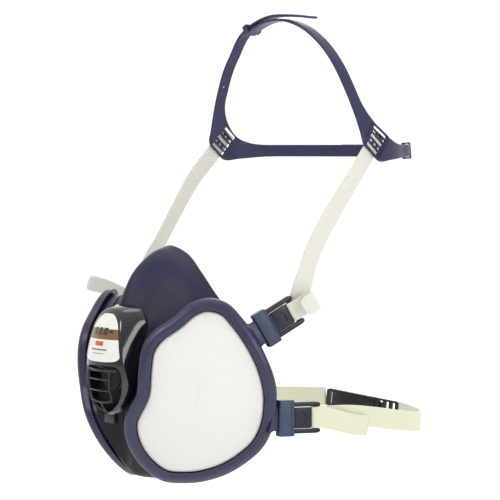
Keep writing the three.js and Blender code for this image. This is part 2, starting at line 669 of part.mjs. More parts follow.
/** Plate with a strap slot at one end and, at the other, a tongue whose claw drops into the socket. */
function claspHook() {
  const low = -claspHalf;
  const high = SOCKET_START - GAP;
  const parts = [
    box(CLASP_WIDTH, high - low, 2.6, 0, (high + low) / 2, 0),
    box(5.6, 6.4, 1.3, 0, high + 2.6, 2.2),
    box(5.6, 1.3, 3.2, 0, high + 5.15, 1.2),
    box(5.6, 3, 1.7, 0, high - 1.5, 2),
  ];
  return fromSolid(cutAll(joinAll(parts), [box(CLASP_WIDTH - 2.6, 2.4, 6, 0, low + 3.7, 0)]));
}

/** Ladder of slots that the claw and the left strap go through. */
function claspSocket() {
  const plateSolid = box(CLASP_WIDTH, claspHalf - SOCKET_START, 2.4, 0, (claspHalf + SOCKET_START) / 2, 0);
  const slots = [
    box(CLASP_WIDTH - 2.3, 2.4, 6, 0, SOCKET_START + 4.6, 0),
    box(CLASP_WIDTH - 2.3, 2, 6, 0, SOCKET_START + 8.8, 0),
    box(CLASP_WIDTH - 2.3, 2, 6, 0, SOCKET_START + 13, 0),
  ];
  return fromSolid(cutAll(toSolid(plateSolid), slots));
}

const clasp = claspGroup();
addPart('neck_clasp_hook', claspHook(), BLACK_MATT(), clasp);
addPart('neck_clasp_socket', claspSocket(), BLACK_MATT(), clasp);
respirator.add(clasp);

// ---------------------------------------------------------------- straps
const WRAP = BAR_RADIUS + GAP + STRAP_THICK / 2; // middle of the strap round a bar

/** Points of a strap that turns round a buckle bar, from its free tail to the side next to the face. */
function wrapPoints(group, tail) {
  const local = [
    ...tail,
    [0, BUCKLE_REACH - WRAP * 0.7, WRAP * 0.75],
    [0, BUCKLE_REACH - WRAP, 0],
    [0, BUCKLE_REACH - WRAP * 0.7, -WRAP * 0.75],
    [0, BUCKLE_REACH + 1.5, -WRAP],
  ];
  return local.map((p) => vec(p).applyMatrix4(group.matrixWorld).toArray());
}

const toWorld = (group, points) => points.map((p) => vec(p).applyMatrix4(group.matrixWorld).toArray());
const xAxisOf = (group) => new THREE.Vector3().setFromMatrixColumn(group.matrixWorld, 0).toArray();
const negated = (p) => p.map((value) => -value);

/** Upper strap of one side. face is -1 where it lies inside the ladder and 1 where it lies outside. */
function upperStrap(tail, face) {
  const buckle = buckleGroup(UPPER_BUCKLE, 1);
  const ladder = ladderGroup();
  const lift = face * (CRADLE_THICK / 2 + STRAP_THICK / 2 + (face < 0 ? 6 : 2) * GAP);
  const overLadder = [-7.5, -3, 1, 5, 9].map((d) =>
    onCradle(LADDER.at[0] + LADDER.along[0] * d, LADDER.at[1] + LADDER.along[1] * d, lift).toArray());
  const points = [
    ...wrapPoints(buckle, tail),
    [68.5, 14.5, 50], [66.2, 22.5, 64], [66.5, 36, 84], [67.6, 49, 101],
    ...overLadder,
  ];
  const bar = xAxisOf(buckle);
  const across = [bar, bar, bar, xAxisOf(ladder), xAxisOf(ladder)];
  return band({ points, across, width: STRAP_WIDTH - 1, steps: 30 });
}

// The left tail folds back on itself in a round loop, the right one hangs loose behind the nose.
const CURLED_TAIL = [
  [0, BUCKLE_REACH + 2, 9.5], [0, BUCKLE_REACH + 6, 10.4], [0, BUCKLE_REACH + 9.8, 9],
  [0, BUCKLE_REACH + 10.6, 6], [0, BUCKLE_REACH + 7.6, 3.6], [0, BUCKLE_REACH + 3, 3],
];
const LOOSE_TAIL = [[-12, 14, 26], [-6, 19, 15.5], [-1, 20.8, 6]];
addPart('upper_strap_left', upperStrap(CURLED_TAIL, -1), ELASTIC());
addPart('upper_strap_right', onSide(upperStrap(LOOSE_TAIL, 1), -1), ELASTIC());

/** Neck strap from its tail, round the lower bar, and back to the clasp. */
function neckStrap(route, end) {
  const buckle = buckleGroup(LOWER_BUCKLE, 1);
  const tail = [[0, BUCKLE_REACH + 3, WRAP + 0.2]];
  const points = [
    [79.5, 50, -29], [79.6, 41, -27.6], [79, 32, -25.2], ...wrapPoints(buckle, tail), ...route, ...end,
  ];
  return band({ points, across: [negated(xAxisOf(buckle)), [0, 0, 1]], width: STRAP_WIDTH, steps: 36 });
}

const LEFT_ROUTE = [
  [76.5, 38, -22.6], [76, 58, -25.4], [72.5, 80, -29.4], [65, 102, -33], [52, 116, -34], [38.5, 122.6, -33.6],
];
const RIGHT_ROUTE = [[76, 38, -23.5], [74, 55, -27], [68, 75, -29], [57, 93, -29.5], [42, 105, -29]];
const claspEnd = (y) => toWorld(clasp, [[0, y, 0]])[0];
addPart('neck_strap_left', neckStrap(LEFT_ROUTE, [claspEnd(claspHalf + 1)]), ELASTIC());
addPart('neck_strap_right',
  onSide(neckStrap(RIGHT_ROUTE, [mirrorPoint(claspEnd(-claspHalf - 1))]), -1), ELASTIC());

export default respirator;
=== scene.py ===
import math

import bmesh
import bpy
import numpy as np
from mathutils import Matrix, Vector


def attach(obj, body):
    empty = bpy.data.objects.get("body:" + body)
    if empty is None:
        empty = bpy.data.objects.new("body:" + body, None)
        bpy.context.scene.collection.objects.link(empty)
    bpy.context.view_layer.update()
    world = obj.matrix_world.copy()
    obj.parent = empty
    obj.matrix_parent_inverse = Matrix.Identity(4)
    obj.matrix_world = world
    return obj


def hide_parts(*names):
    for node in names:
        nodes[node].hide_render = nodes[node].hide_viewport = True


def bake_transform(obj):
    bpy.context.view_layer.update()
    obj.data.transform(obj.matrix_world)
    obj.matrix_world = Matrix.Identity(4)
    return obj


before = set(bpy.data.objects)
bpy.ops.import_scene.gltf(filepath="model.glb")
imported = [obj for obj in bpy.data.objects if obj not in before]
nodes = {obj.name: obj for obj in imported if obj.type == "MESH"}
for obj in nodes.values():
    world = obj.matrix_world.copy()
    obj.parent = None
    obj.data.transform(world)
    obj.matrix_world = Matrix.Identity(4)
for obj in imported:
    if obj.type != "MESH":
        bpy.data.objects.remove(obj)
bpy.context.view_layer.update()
SIDES = (("left", 1), ("right", -1))
MM = 0.001
MIRROR = np.diag([-1, 1, 1, 1])

# ---------------------------------------------------------------- dimensions shared with the CAD, in mm
FILTER_AT = (46.8, -39, -8)
FILTER_TURN = 52
FILTER_BEND_ACROSS = 0.002
FILTER_BEND_DOWN = 0.0063
FILTER_CREST = 14
FILTER_OUTLINE = (
    (4, 49), (15, 46.5), (23, 38.5), (31, 27), (37, 14.5), (40.5, 0), (39.5, -17),
    (34.5, -29.5), (26.5, -38), (15.5, -45.5), (3.5, -49.8), (-8, -51), (-19, -49.5),
    (-30, -40.5), (-37, -28), (-38.5, -15.5), (-35.5, -7.5), (-32, -0.5), (-31, 11.5),
    (-29, 24), (-23.5, 32), (-13, 39.5), (-5, 46),
)
PORT_AT = (3, -6)
PORT_RADIUS = 10
GAP = 0.35
SKIN = 2.2
RIM_SKIRT = 3.4
TRAY_INSET = 3.25
TRAY_BACK = 9
TRAY_SKIN = 1.4
SEAT_BORE = 7.6
VALVE_RADIUS = 9.5
STRAP_THICK = 1.2
BAR_RADIUS = 1.5
BUCKLE_REACH = 24
BUCKLE_HALF = 8.2
LEVER_PIVOT = 10.5
WRAP = BAR_RADIUS + GAP + STRAP_THICK / 2
UPPER_BUCKLE = ((60.8, -11.5, 22.4), (0.27, 0.83, 0.49), (0.93, -0.36, 0.08))
LOWER_BUCKLE = ((64.4, -3.1, -22), (0.3, 0.95, -0.02), (0.94, -0.32, 0.05))

# Left halves of the facepiece's rings, from the face seal forward, each from nose to chin.
SEAL = (
    (0, -21, 66.5), (12, -19, 62.5), (24, -19, 53), (36, -17, 40), (46, -8, 25), (54, 1, 8), (57, 5, -9),
    (54, 4, -25), (46, -4, -39), (32, -13, -50), (16, -21, -56), (0, -24, -58),
)
MIDDLE = (
    (0, -31.5, 63), (12, -28, 58.5), (23, -26.5, 50.5), (34, -26.5, 38), (43, -26, 22), (50, -19, 5),
    (51, -16, -10), (47, -17, -26), (38, -22, -40), (26, -29, -50), (13, -34, -56), (0, -36, -57.5),
)
FRONT = (
    (0, -45.3, 52.5), (8.5, -40.5, 49), (15.5, -38.5, 42.5), (22, -41, 33), (24, -49.5, 20), (24, -53, 5),
    (23, -54, -8), (20.5, -55, -20), (17, -53, -32), (13, -49, -43), (7.5, -46, -51), (0, -45, -55),
)
NOSE = (
    (0, -54, 36), (7, -52, 33.5), (10, -53.5, 28), (11.5, -55.5, 18), (12, -57, 6), (12.5, -57.5, -3),
    (13.5, -58.5, -10), (13, -60, -19), (10.5, -59, -29), (8, -55.5, -38), (5, -51, -46), (0, -48.5, -51.5),
)

CRADLE_THICK = 1.4
CRADLE_ARM = 8
CRADLE_REAR = (-9.6, -2.6)
KNEE = np.array((66.0, 64.0, 123.0))
CROWN_POINTS = (
    (66, 64, 123), (60.3, 61.3, 138), (54.8, 59.8, 150), (46, 58.2, 165), (34.5, 57.2, 177),
    (19, 56.6, 186.2), (0, 56.3, 190),
)
REAR_RADII = (66.1, 58.5)
REAR_CENTRE_Y = 66.5
LAYER = 2.4
TAIL_RISE = 0.0075
LADDER_AT = (4, -2)
LADDER_ALONG = (0.7, 0.714)
LADDER_SLOTS = (-3.6, 2.2, 8)

CLASP_LEFT = np.array((25.3, 125.3, -33.0))
CLASP_RIGHT = np.array((-22.0, 113.1, -28.3))
SOCKET_LENGTH = 16


# ---------------------------------------------------------------- curves and frames
def knots(points, closed):
    p = np.asarray(points, float)
    if closed:
        return np.vstack([p[-1], p, p[0], p[1]])
    return np.vstack([2 * p[0] - p[1], p, 2 * p[-1] - p[-2]])


def spline_at(points, t, closed=False):
    """Centripetal Catmull-Rom through points at t from 0 to 1, even steps of t per span."""
    p = knots(points, closed)
    spans = len(points) if closed else len(points) - 1
    place = np.clip(np.asarray(t, float), 0, 1) * spans
    index = np.minimum(place.astype(int), spans - 1)
    local = (place - index)[:, None]
    a, b, c, d = (p[index + k] for k in range(4))
    t0, t1, t2 = (np.sqrt(np.linalg.norm(v - u, axis=1))[:, None] for u, v in ((a, b), (b, c), (c, d)))
    t1 = np.where(t1 < 0.01, 1.0, t1)
    t0 = np.where(t0 < 0.01, t1, t0)
    t2 = np.where(t2 < 0.01, t1, t2)
    m1 = ((b - a) / t0 - (c - a) / (t0 + t1) + (c - b) / t1) * t1
    m2 = ((c - b) / t1 - (d - b) / (t1 + t2) + (d - c) / t2) * t1
    s2, s3 = local**2, local**3
    return (2 * s3 - 3 * s2 + 1) * b + (s3 - 2 * s2 + local) * m1 + (3 * s2 - 2 * s3) * c + (s3 - s2) * m2


def run_length(path):
    """Distance from the start of a path to each of its points."""
    return np.concatenate([[0], np.cumsum(np.linalg.norm(np.diff(path, axis=0), axis=1))])


def even(points, count, closed=False):
    """Points spaced evenly by length along the spline."""
    spans = len(points) if closed else len(points) - 1
    fine = spline_at(points, np.linspace(0, 1, spans * 40 + 1), closed)
    run = run_length(fine)
    stops = np.linspace(0, run[-1], count + 1)[:-1] if closed else np.linspace(0, run[-1], count)
    return np.stack([np.interp(stops, run, fine[:, k]) for k in range(fine.shape[1])], 1)


def unit(v):
    v = np.asarray(v, float)
    return v / np.linalg.norm(v, axis=-1, keepdims=True)


def basis(at, along, out):
    """4x4 whose local y runs along and whose local z looks out."""
    y = unit(along)
    z = unit(np.asarray(out, float) - np.dot(out, y) * y)
    x = np.cross(y, z)
    m = np.eye(4)
    m[:3, 0], m[:3, 1], m[:3, 2], m[:3, 3] = x, y, z, at
    return m


def placed(m, points):
    return np.asarray(points, float) @ m[:3, :3].T + m[:3, 3]


def mirrored(points):
    return np.asarray(points, float) * (-1, 1, 1)


def smoothstep(x, low, high):
    t = np.clip((x - low) / (high - low), 0, 1)
    return t * t * (3 - 2 * t)


# ---------------------------------------------------------------- meshes
def grid_faces(rows, columns, closed):
    r = np.arange(rows if closed else rows - 1)
    rr, cc = np.meshgrid(r, np.arange(columns), indexing="ij")
    nr, nc = (rr + 1) % rows, (cc + 1) % columns
    quads = [rr * columns + cc, rr * columns + nc, nr * columns + nc, nr * columns + cc]
    return np.stack(quads, -1).reshape(-1, 4).tolist()


def new_object(name, data):
    o = bpy.data.objects.new(name, data)
    bpy.context.scene.collection.objects.link(o)
    return o


def shade_smooth(mesh):
    mesh.polygons.foreach_set("use_smooth", [True] * len(mesh.polygons))


def from_bmesh(name, bm):
    mesh = bpy.data.meshes.new(name)
    bm.to_mesh(mesh)
    bm.free()
    shade_smooth(mesh)
    return new_object(name, mesh)


def loft(name, rings, closed=False, side=1, uv=None):
    """Skin through rings of equal count, in mm, with a flat cap on each open end.

    side -1 mirrors it across the middle plane. uv is one pair per point.
    """
    rings = np.asarray(rings, float)
    rows, columns = rings.shape[:2]
    faces = grid_faces(rows, columns, closed)
    if not closed:
        faces.append(list(range(columns)))
        faces.append(list(range((rows - 1) * columns, rows * columns)))
    points = rings.reshape(-1, 3)
    if side == -1:
        points = mirrored(points)
    mesh = bpy.data.meshes.new(name)
    mesh.from_pydata((points * MM).tolist(), [], faces)
    if uv is not None:
        layer = mesh.uv_layers.new(name="length")
        loops = np.array([loop.vertex_index for loop in mesh.loops])
        layer.data.foreach_set("uv", np.asarray(uv, np.float32)[loops].ravel())
    bm = bmesh.new()
    bm.from_mesh(mesh)
    bmesh.ops.recalc_face_normals(bm, faces=bm.faces)
    bm.to_mesh(mesh)
    bm.free()
    shade_smooth(mesh)
    return new_object(name, mesh)


def rounded_section(width, thickness, radius, steps=3):
    """Closed rounded rectangle as (across, through) pairs."""
    corners = []
    for k, (sx, sy) in enumerate(((1, 1), (-1, 1), (-1, -1), (1, -1))):
        for a in np.linspace(k * math.pi / 2, (k + 1) * math.pi / 2, steps + 1):
            corners.append((
                sx * (width / 2 - radius) + radius * math.cos(a),
                sy * (thickness / 2 - radius) + radius * math.sin(a),
            ))
    return np.array(corners)


def round_edges(bm, bevel, segments=3):
    bmesh.ops.bevel(
        bm, geom=bm.edges[:], offset=bevel * MM, segments=segments, profile=0.5, affect="EDGES",
        clamp_overlap=True)


def solid_box(size, at, bevel, segments=3):
    """Box with rounded edges, in mm."""
    bm = bmesh.new()
    bmesh.ops.create_cube(bm, size=1)
    bmesh.ops.scale(bm, vec=Vector(size) * MM, verts=bm.verts)
    round_edges(bm, bevel, segments)
    bmesh.ops.translate(bm, vec=Vector(at) * MM, verts=bm.verts)
    return from_bmesh("part", bm)


def rod(radius, length, at, axis, sides=32, bevel=0.3):
    """Round bar along an axis, ends bevelled, in mm."""
    half = length / 2
    ring = np.linspace(0, 2 * math.pi, sides, endpoint=False)
    inner = radius - bevel
    profile = [(-half, inner), (bevel - half, radius), (half - bevel, radius), (half, inner)]
    rings = []
    for along, r in profile:
        a, b = r * np.cos(ring), r * np.sin(ring)
        flat = np.full(sides, along)
        parts = {"x": (flat, a, b), "y": (a, flat, b), "z": (a, b, flat)}[axis]
        rings.append(np.stack(parts, 1) + at)
    return loft("part", rings)


def turned(profile, closed, sides=64):
    """Solid turned about local z from a list of (radius, height), closed where it is a ring."""
    turn = np.linspace(0, 2 * math.pi, sides, endpoint=False)
    rings = [[(r * math.cos(t), r * math.sin(t), h) for t in turn] for r, h in profile]
    return loft("turned", rings, closed)


def boolean(target, tools, operation):
    """Joins or cuts with the tools and leaves them out of the scene."""
    for tool in tools:
        modifier = target.modifiers.new(operation, "BOOLEAN")
        modifier.operation = operation
        modifier.object = tool
        modifier.solver = "EXACT"
    bake(target)
    for tool in tools:
        bpy.data.objects.remove(tool)
    return target


def bake(o):
    """Applies every modifier to the mesh."""
    bpy.context.view_layer.update()
    graph = bpy.context.evaluated_depsgraph_get()
    mesh = bpy.data.meshes.new_from_object(o.evaluated_get(graph))
    o.modifiers.clear()
    o.data = mesh
    shade_smooth(mesh)
    return o


def union(name, parts):
    whole = boolean(parts[0], parts[1:], "UNION")
    whole.name = name
    return whole


def cut(target, tools):
    return boolean(target, tools, "DIFFERENCE")


def moved(o, m):
    """Puts an object built in a local frame (mm) in its place."""
    matrix = Matrix(np.asarray(m).tolist())
    matrix.translation *= MM
    o.data.transform(matrix)
    if matrix.determinant() < 0:
        o.data.flip_normals()
    return o


def reflected(o):
    o.data.transform(Matrix.Diagonal((-1, 1, 1, 1)))
    o.data.flip_normals()
    return o


def sharpen(o, degrees=32):
    """Keeps crisp edges crisp while the rest stays smooth."""
    limit = math.radians(degrees)
    bm = bmesh.new()
    bm.from_mesh(o.data)
    for edge in bm.edges:
        edge.smooth = len(edge.link_faces) != 2 or edge.calc_face_angle(0) < limit
    bm.to_mesh(o.data)
    bm.free()
    return o


# ---------------------------------------------------------------- materials
def srgb(r, g, b):
    """Linear colour from the usual 0 to 255 values."""
    values = [c / 255 for c in (r, g, b)]
    return (*[c / 12.92 if c <= 0.04045 else ((c + 0.055) / 1.055) ** 2.4 for c in values], 1)


class Surface:
    """A node material built round the Principled shader."""

    def __init__(self, name, roughness, **fixed):
        self.made = bpy.data.materials.new(name)
        self.made.use_nodes = True
        self.tree = self.made.node_tree
        self.shader = self.tree.nodes["Principled BSDF"]
        self.shader.inputs["Roughness"].default_value = roughness
        for socket, value in fixed.items():
            self.shader.inputs[socket.replace("_", " ")].default_value = value
        self.height = None

    def add(self, kind, settings=None, **inputs):
        node = self.tree.nodes.new("ShaderNode" + kind)
        for key, value in (settings or {}).items():
            setattr(node, key, value)
        for key, value in inputs.items():
            socket = node.inputs[int(key[1:])] if key[1:].isdigit() else node.inputs[key.replace("_", " ")]
            if isinstance(value, bpy.types.NodeSocket):
                self.tree.links.new(value, socket)
            else:
                socket.default_value = value
        return node

    def place(self, stretch=(1, 1, 1)):
        """Object coordinates, stretched along each axis."""
        source = self.add("TexCoord").outputs["Object"]
        return self.add("Mapping", Vector=source, Scale=stretch).outputs["Vector"]

    def noise(self, scale, detail=3, roughness=0.5, vector=None):
        inputs = {"Vector": self.place() if vector is None else vector}
        return self.add("TexNoise", Scale=scale, Detail=detail, Roughness=roughness, **inputs).outputs["Fac"]

    def ramp(self, value, *stops):
        node = self.add("ValToRGB", i0=value)
        elements = node.color_ramp.elements
        while len(elements) < len(stops):
            elements.new(0.5)
        for element, (at, colour) in zip(elements, stops):
            element.position = at
            element.color = colour
        return node.outputs["Color"]

    def math(self, operation, a, b=0.0):
        return self.add("Math", {"operation": operation}, i0=a, i1=b).outputs[0]

    def span(self, value, low, high, to_low, to_high):
        inputs = {"From_Min": low, "From_Max": high, "To_Min": to_low, "To_Max": to_high}
        return self.add("MapRange", Value=value, **inputs).outputs["Result"]

    def mix(self, factor, a, b):
        return self.add("Mix", {"data_type": "RGBA"}, i0=factor, i6=a, i7=b).outputs[2]

    def colour(self, value):
        self.tree.links.new(value, self.shader.inputs["Base Color"])
        return self

    def rough(self, value):
        self.tree.links.new(value, self.shader.inputs["Roughness"])
        return self

    def bump(self, height, strength, distance):
        inputs = {"Height": height, "Strength": strength, "Distance": distance}
        if self.height is not None:
            inputs["Normal"] = self.height
        self.height = self.add("Bump", **inputs).outputs["Normal"]
        self.tree.links.new(self.height, self.shader.inputs["Normal"])
        return self


def plastic(name, dark, light, roughness, spread=0.07, grain=2600, **fixed):
    """Moulded plastic: cloudy tone, fine texture, slightly rubbed edges."""
    s = Surface(name, roughness, **fixed)
    tone = s.ramp(s.noise(55, 4, 0.6), (0.3, dark), (0.72, light))
    edge = s.ramp(s.add("NewGeometry").outputs["Pointiness"], (0.5, (0, 0, 0, 1)), (0.62, (1, 1, 1, 1)))
    rub = s.math("MULTIPLY", edge, s.span(s.noise(420, 3), 0.35, 0.75, 0.0, 0.4))
    worn = tuple(min(1, 1.6 * c + 0.012) for c in light[:3]) + (1,)
    s.colour(s.mix(rub, tone, worn))
    s.rough(s.span(s.noise(160, 4), 0.3, 0.7, roughness - spread, roughness + spread))
    return s.bump(s.noise(grain, 2), 0.35, 0.00003).bump(s.noise(90, 2), 0.12, 0.0003).made


def soft_material_with_painted_shade():
    """Facepiece plastic with painted shade: nearly black where it passes under the valve cover and down to
    the chin.
    """
    s = Surface("soft_facepiece", 0.48, Specular_IOR_Level=0.2)
    tone = s.ramp(s.noise(55, 4, 0.6), (0.3, srgb(31, 31, 53)), (0.72, srgb(38, 38, 61)))
    # Painted shade: the colour goes nearly black low and forward on the facepiece, under the valve cover and
    # down to the chin.
    spot = s.add("SeparateXYZ", Vector=s.place())
    low = s.span(spot.outputs["Z"], 0.021, 0.046, 1, 0)
    forward = s.span(spot.outputs["Y"], -0.022, -0.042, 0, 1)
    s.colour(s.mix(s.math("MULTIPLY", low, forward), tone, srgb(17, 18, 25)))
    return s.bump(s.noise(1800, 2), 0.35, 0.00003).bump(s.noise(90, 2), 0.12, 0.0003).made


def fleece_material():
    s = Surface("fleece", 0.95, Sheen_Weight=0.25, Sheen_Roughness=0.6)
    fibre = s.noise(900, 5, 0.7, s.place((1, 1, 0.45)))
    cross = s.noise(1300, 4, 0.7, s.place((0.5, 0.5, 1.6)))
    both = s.math("ADD", fibre, cross)
    s.colour(s.ramp(s.math("MULTIPLY", both, 0.5), (0.3, srgb(202, 200, 196)), (0.62, srgb(209, 207, 204))))
    return s.bump(both, 0.3, 0.00012).bump(s.noise(140, 3), 0.12, 0.0005).made


CORD_PITCH = 0.95
ROW_PITCH = 0.72


def elastic_material(name, low, high):
    """Knitted elastic: cords along its length and fine rows across, from the length map in mm."""
    s = Surface(name, 0.88, Sheen_Weight=0.3, Sheen_Roughness=0.5)
    parts = s.add("SeparateXYZ", Vector=s.add("UVMap", {"uv_map": "length"}).outputs["UV"])
    along, across = parts.outputs["X"], parts.outputs["Y"]
    cords = s.math("ABSOLUTE", s.math("SINE", s.math("MULTIPLY", across, math.pi / CORD_PITCH)))
    cord = s.math("ROUND", s.math("DIVIDE", across, CORD_PITCH))
    shifted = s.math("ADD", along, s.math("MULTIPLY", cord, ROW_PITCH / 2))
    rows = s.math("ABSOLUTE", s.math("SINE", s.math("MULTIPLY", shifted, math.pi / ROW_PITCH)))
    knit = s.math("MULTIPLY", s.math("POWER", cords, 0.6), s.span(rows, 0, 1, 0.55, 1))
    fuzz = s.math("MULTIPLY", s.noise(1500, 3), 0.35)
    height = s.math("ADD", knit, fuzz)
    s.colour(s.ramp(s.math("MULTIPLY", height, 0.75), (0.2, low), (0.75, high)))
    return s.bump(height, 0.3, 0.00012).bump(s.noise(60, 2), 0.12, 0.0006).made


LABEL_BAND = (18.8, 24.2)
INK = srgb(34, 24, 20)
# Plain bars in place of print: left, right, low and high edge in mm, and colour.
LABEL_BARS = (
    (-6.8, -3.6, 21.0, 24.8, INK), (-2.6, 0.6, 21.0, 24.8, INK), (1.6, 4.8, 21.0, 24.8, INK),
    (5.6, 8.2, 22.2, 23.6, INK), (-3.4, 3.4, 15.4, 17.8, srgb(192, 72, 50)),
    (-6.6, 6.6, 13.0, 13.9, srgb(118, 117, 112)), (-4.8, 4.8, 11.2, 11.7, srgb(146, 145, 140)),
)


def label_material():
    """Printed film: plain ground, a brown band and plain bars."""
    s = Surface("label_film", 0.32, Coat_Weight=0.25, Coat_Roughness=0.15)
    parts = s.add("SeparateXYZ", Vector=s.add("TexCoord").outputs["Object"])
    x, z = parts.outputs["X"], parts.outputs["Z"]

    def within(value, low, high):
        return s.math(
            "MULTIPLY", s.math("GREATER_THAN", value, low * MM), s.math("LESS_THAN", value, high * MM))

    shade = s.ramp(s.noise(300, 3), (0.3, srgb(206, 207, 198)), (0.7, srgb(214, 215, 206)))
    face = s.mix(within(z, *LABEL_BAND), shade, srgb(112, 74, 28))
    for x0, x1, z0, z1, ink in LABEL_BARS:
        face = s.mix(s.math("MULTIPLY", within(x, x0, x1), within(z, z0, z1)), face, ink)
    return s.colour(face).bump(s.noise(700, 2), 0.05, 0.0001).made


def carbon_material():
    s = Surface("carbon", 0.8)
    grain = s.add("TexVoronoi", Vector=s.place(), Scale=900).outputs["Distance"]
    s.colour(s.ramp(grain, (0.1, srgb(38, 38, 40)), (0.7, srgb(10, 10, 11))))
    return s.bump(grain, 0.9, 0.0006).made


def steel_material():
    s = Surface("steel", 0.28, Metallic=1)
    brushed = s.noise(500, 3, 0.6, s.place((1, 1, 9)))
    s.colour(s.ramp(brushed, (0.3, srgb(150, 152, 156)), (0.7, srgb(196, 198, 202))))
    s.rough(s.span(brushed, 0.3, 0.7, 0.2, 0.4))
    return s.bump(brushed, 0.2, 0.00003).made


# Each finish is a material and the record's slot that it stands for.
NAVY = (
    plastic("navy_plastic", srgb(37, 37, 63), srgb(45, 45, 72), 0.38, Specular_IOR_Level=0.38),
    "navy_plastic")
NAVY_DARK = (
    plastic("navy_dark", srgb(20, 21, 34), srgb(27, 28, 43), 0.36, Specular_IOR_Level=0.3), "navy_plastic")
CRADLE = (
    plastic("navy_cradle", srgb(40, 41, 68), srgb(49, 50, 78), 0.36, Specular_IOR_Level=0.22),
    "navy_plastic")
SOFT = (soft_material_with_painted_shade(), "soft_facepiece")
BLUE_GREY = (
    plastic("blue_grey", srgb(38, 50, 72), srgb(48, 62, 85), 0.33, Specular_IOR_Level=0.35),
    "blue_grey_plastic")
GLOSS = (
    plastic("black_gloss", srgb(17, 17, 22), srgb(24, 24, 31), 0.12, 0.04, Coat_Weight=0.4,
            Coat_Roughness=0.05), "black_gloss")
BLACK = (
    plastic("black_plastic", srgb(22, 22, 25), srgb(30, 30, 34), 0.38, Specular_IOR_Level=0.4),
    "black_plastic")
RUBBER = (
    plastic("flap_rubber", srgb(16, 16, 18), srgb(24, 24, 26), 0.6, grain=1400, Specular_IOR_Level=0.2),
    "silicone")
FLEECE = (fleece_material(), "white_fleece")
STRAP = (elastic_material("elastic", srgb(190, 188, 177), srgb(205, 203, 194)), "elastic_webbing")
NECK_STRAP = (
    elastic_material("elastic_neck", srgb(190, 188, 163), srgb(205, 204, 181)), "elastic_webbing")
LABEL = (label_material(), "label_film")
CARBON = carbon_material()
STEEL = (steel_material(), "steel_pin")


def finish_piece(o, name, body, finish, *replaced):
    """Names a piece, paints it, puts it on its body and hides the parts that it replaces."""
    material, slot = finish
    o.name = name
    o.data.materials.clear()
    o.data.materials.append(material)
    o.data.polygons.foreach_set("material_index", [0] * len(o.data.polygons))
    if body is not None:
        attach(o, body)
    if replaced:
        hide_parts(*replaced)


def buckle_frame(placing, side):
    m = basis(*placing)
    return m if side == 1 else MIRROR @ m


def plate_outline(points, thickness, z, bevel):
    """Flat plate with the given corner points (x, y), its edges rounded."""
    bm = bmesh.new()
    verts = [bm.verts.new((x * MM, y * MM, (z - thickness / 2) * MM)) for x, y in points]
    raised = bmesh.ops.extrude_face_region(bm, geom=[bm.faces.new(verts)])
    upper = [v for v in raised["geom"] if isinstance(v, bmesh.types.BMVert)]
    bmesh.ops.translate(bm, vec=Vector((0, 0, thickness * MM)), verts=upper)
    bmesh.ops.recalc_face_normals(bm, faces=bm.faces)
    round_edges(bm, bevel)
    return from_bmesh("plate", bm)


# ---------------------------------------------------------------- filters
RING = 176
filter_turn = math.radians(FILTER_TURN)
FILTER = basis(FILTER_AT, (0, 0, 1), (math.sin(filter_turn), -math.cos(filter_turn), 0))
filter_edge = even([(x, y, 0) for x, y in FILTER_OUTLINE], RING, closed=True)
edge_along = unit(np.roll(filter_edge, -1, 0) - np.roll(filter_edge, 1, 0))


def on_filter(x, y, depth):
    """Point in mm on the curved filter of the left side, depth measured forward from its surface."""
    back = FILTER_BEND_ACROSS * x * x + FILTER_BEND_DOWN * (y - FILTER_CREST) ** 2
    return placed(FILTER, np.stack([x, y, depth - back], -1))


def filter_ring(inset, depth, scale=1.0):
    """Ring parallel to the filter's edge, inset from it and then scaled."""
    x = (filter_edge[:, 0] + edge_along[:, 1] * inset) * scale
    y = (filter_edge[:, 1] - edge_along[:, 0] * inset) * scale
    return on_filter(x, y, np.full(RING, float(depth)))


def filter_disc(inset, back, front, side):
    """Closed disc of the filter's outline, used to cut room for the filter."""
    scales = (0.02, 0.35, 0.7)
    rings = [filter_ring(inset, back, s) for s in scales]
    rings += [filter_ring(inset, back), filter_ring(inset, front)]
    rings += [filter_ring(inset, front, s) for s in reversed(scales)]
    return loft("room", rings, side=side)


def rim_room(side):
    return filter_disc(-GAP, -RIM_SKIRT - GAP, 6, side)


LUG_OUTLINE = (
    (-8.6, -7.0), (8.6, -7.0), (7.6, -2.2), (6.5, -0.6), (6.5, 2.2), (-6.5, 2.2), (-6.5, -0.6), (-7.6, -2.2),
)
LUG_THICK = 3.8
# Inset from the filter's outline and depth in front of its surface.
RIM_PROFILE = (
    (0.3, -RIM_SKIRT), (0.05, -3.2), (0, -2.9), (0, -2), (0, -1), (0.03, -0.2), (0.2, 0.35), (0.6, 0.85),
    (1.2, 1.25), (2.0, 1.6), (2.9, 1.78), (3.7, 1.78), (4.3, 1.66), (4.65, 1.4), (4.8, 1.08), (5.05, 0.94),
    (5.6, 0.82), (6.05, 0.55), (6.3, 0.15), (6.4, -0.4), (6.4, -1.7), (6.2, -2.05), (3.3, -2.2), (2.9, -2.5),
    (2.9, -3.2), (2.7, -RIM_SKIRT),
)


def filter_rim(side):
    """Rounded rim with the two lugs that the buckles sit on."""
    parts = [loft("rim", [filter_ring(i, d) for i, d in RIM_PROFILE], closed=True, side=side)]
    for placing in (UPPER_BUCKLE, LOWER_BUCKLE):
        lug = moved(plate_outline(LUG_OUTLINE, LUG_THICK, -0.3, 0.6), buckle_frame(placing, side))
        parts.append(cut(lug, [filter_disc(2.0, -12, 6, side)]))
    return union("rim", parts)


TRAY_SCALES = (0.02, 0.2, 0.4, 0.58, 0.6, 0.62, 0.7, 0.72, 0.74, 0.85, 0.95)
TRAY_GROOVE = (0.60, 0.72)
TRAY_LIP = -2.7


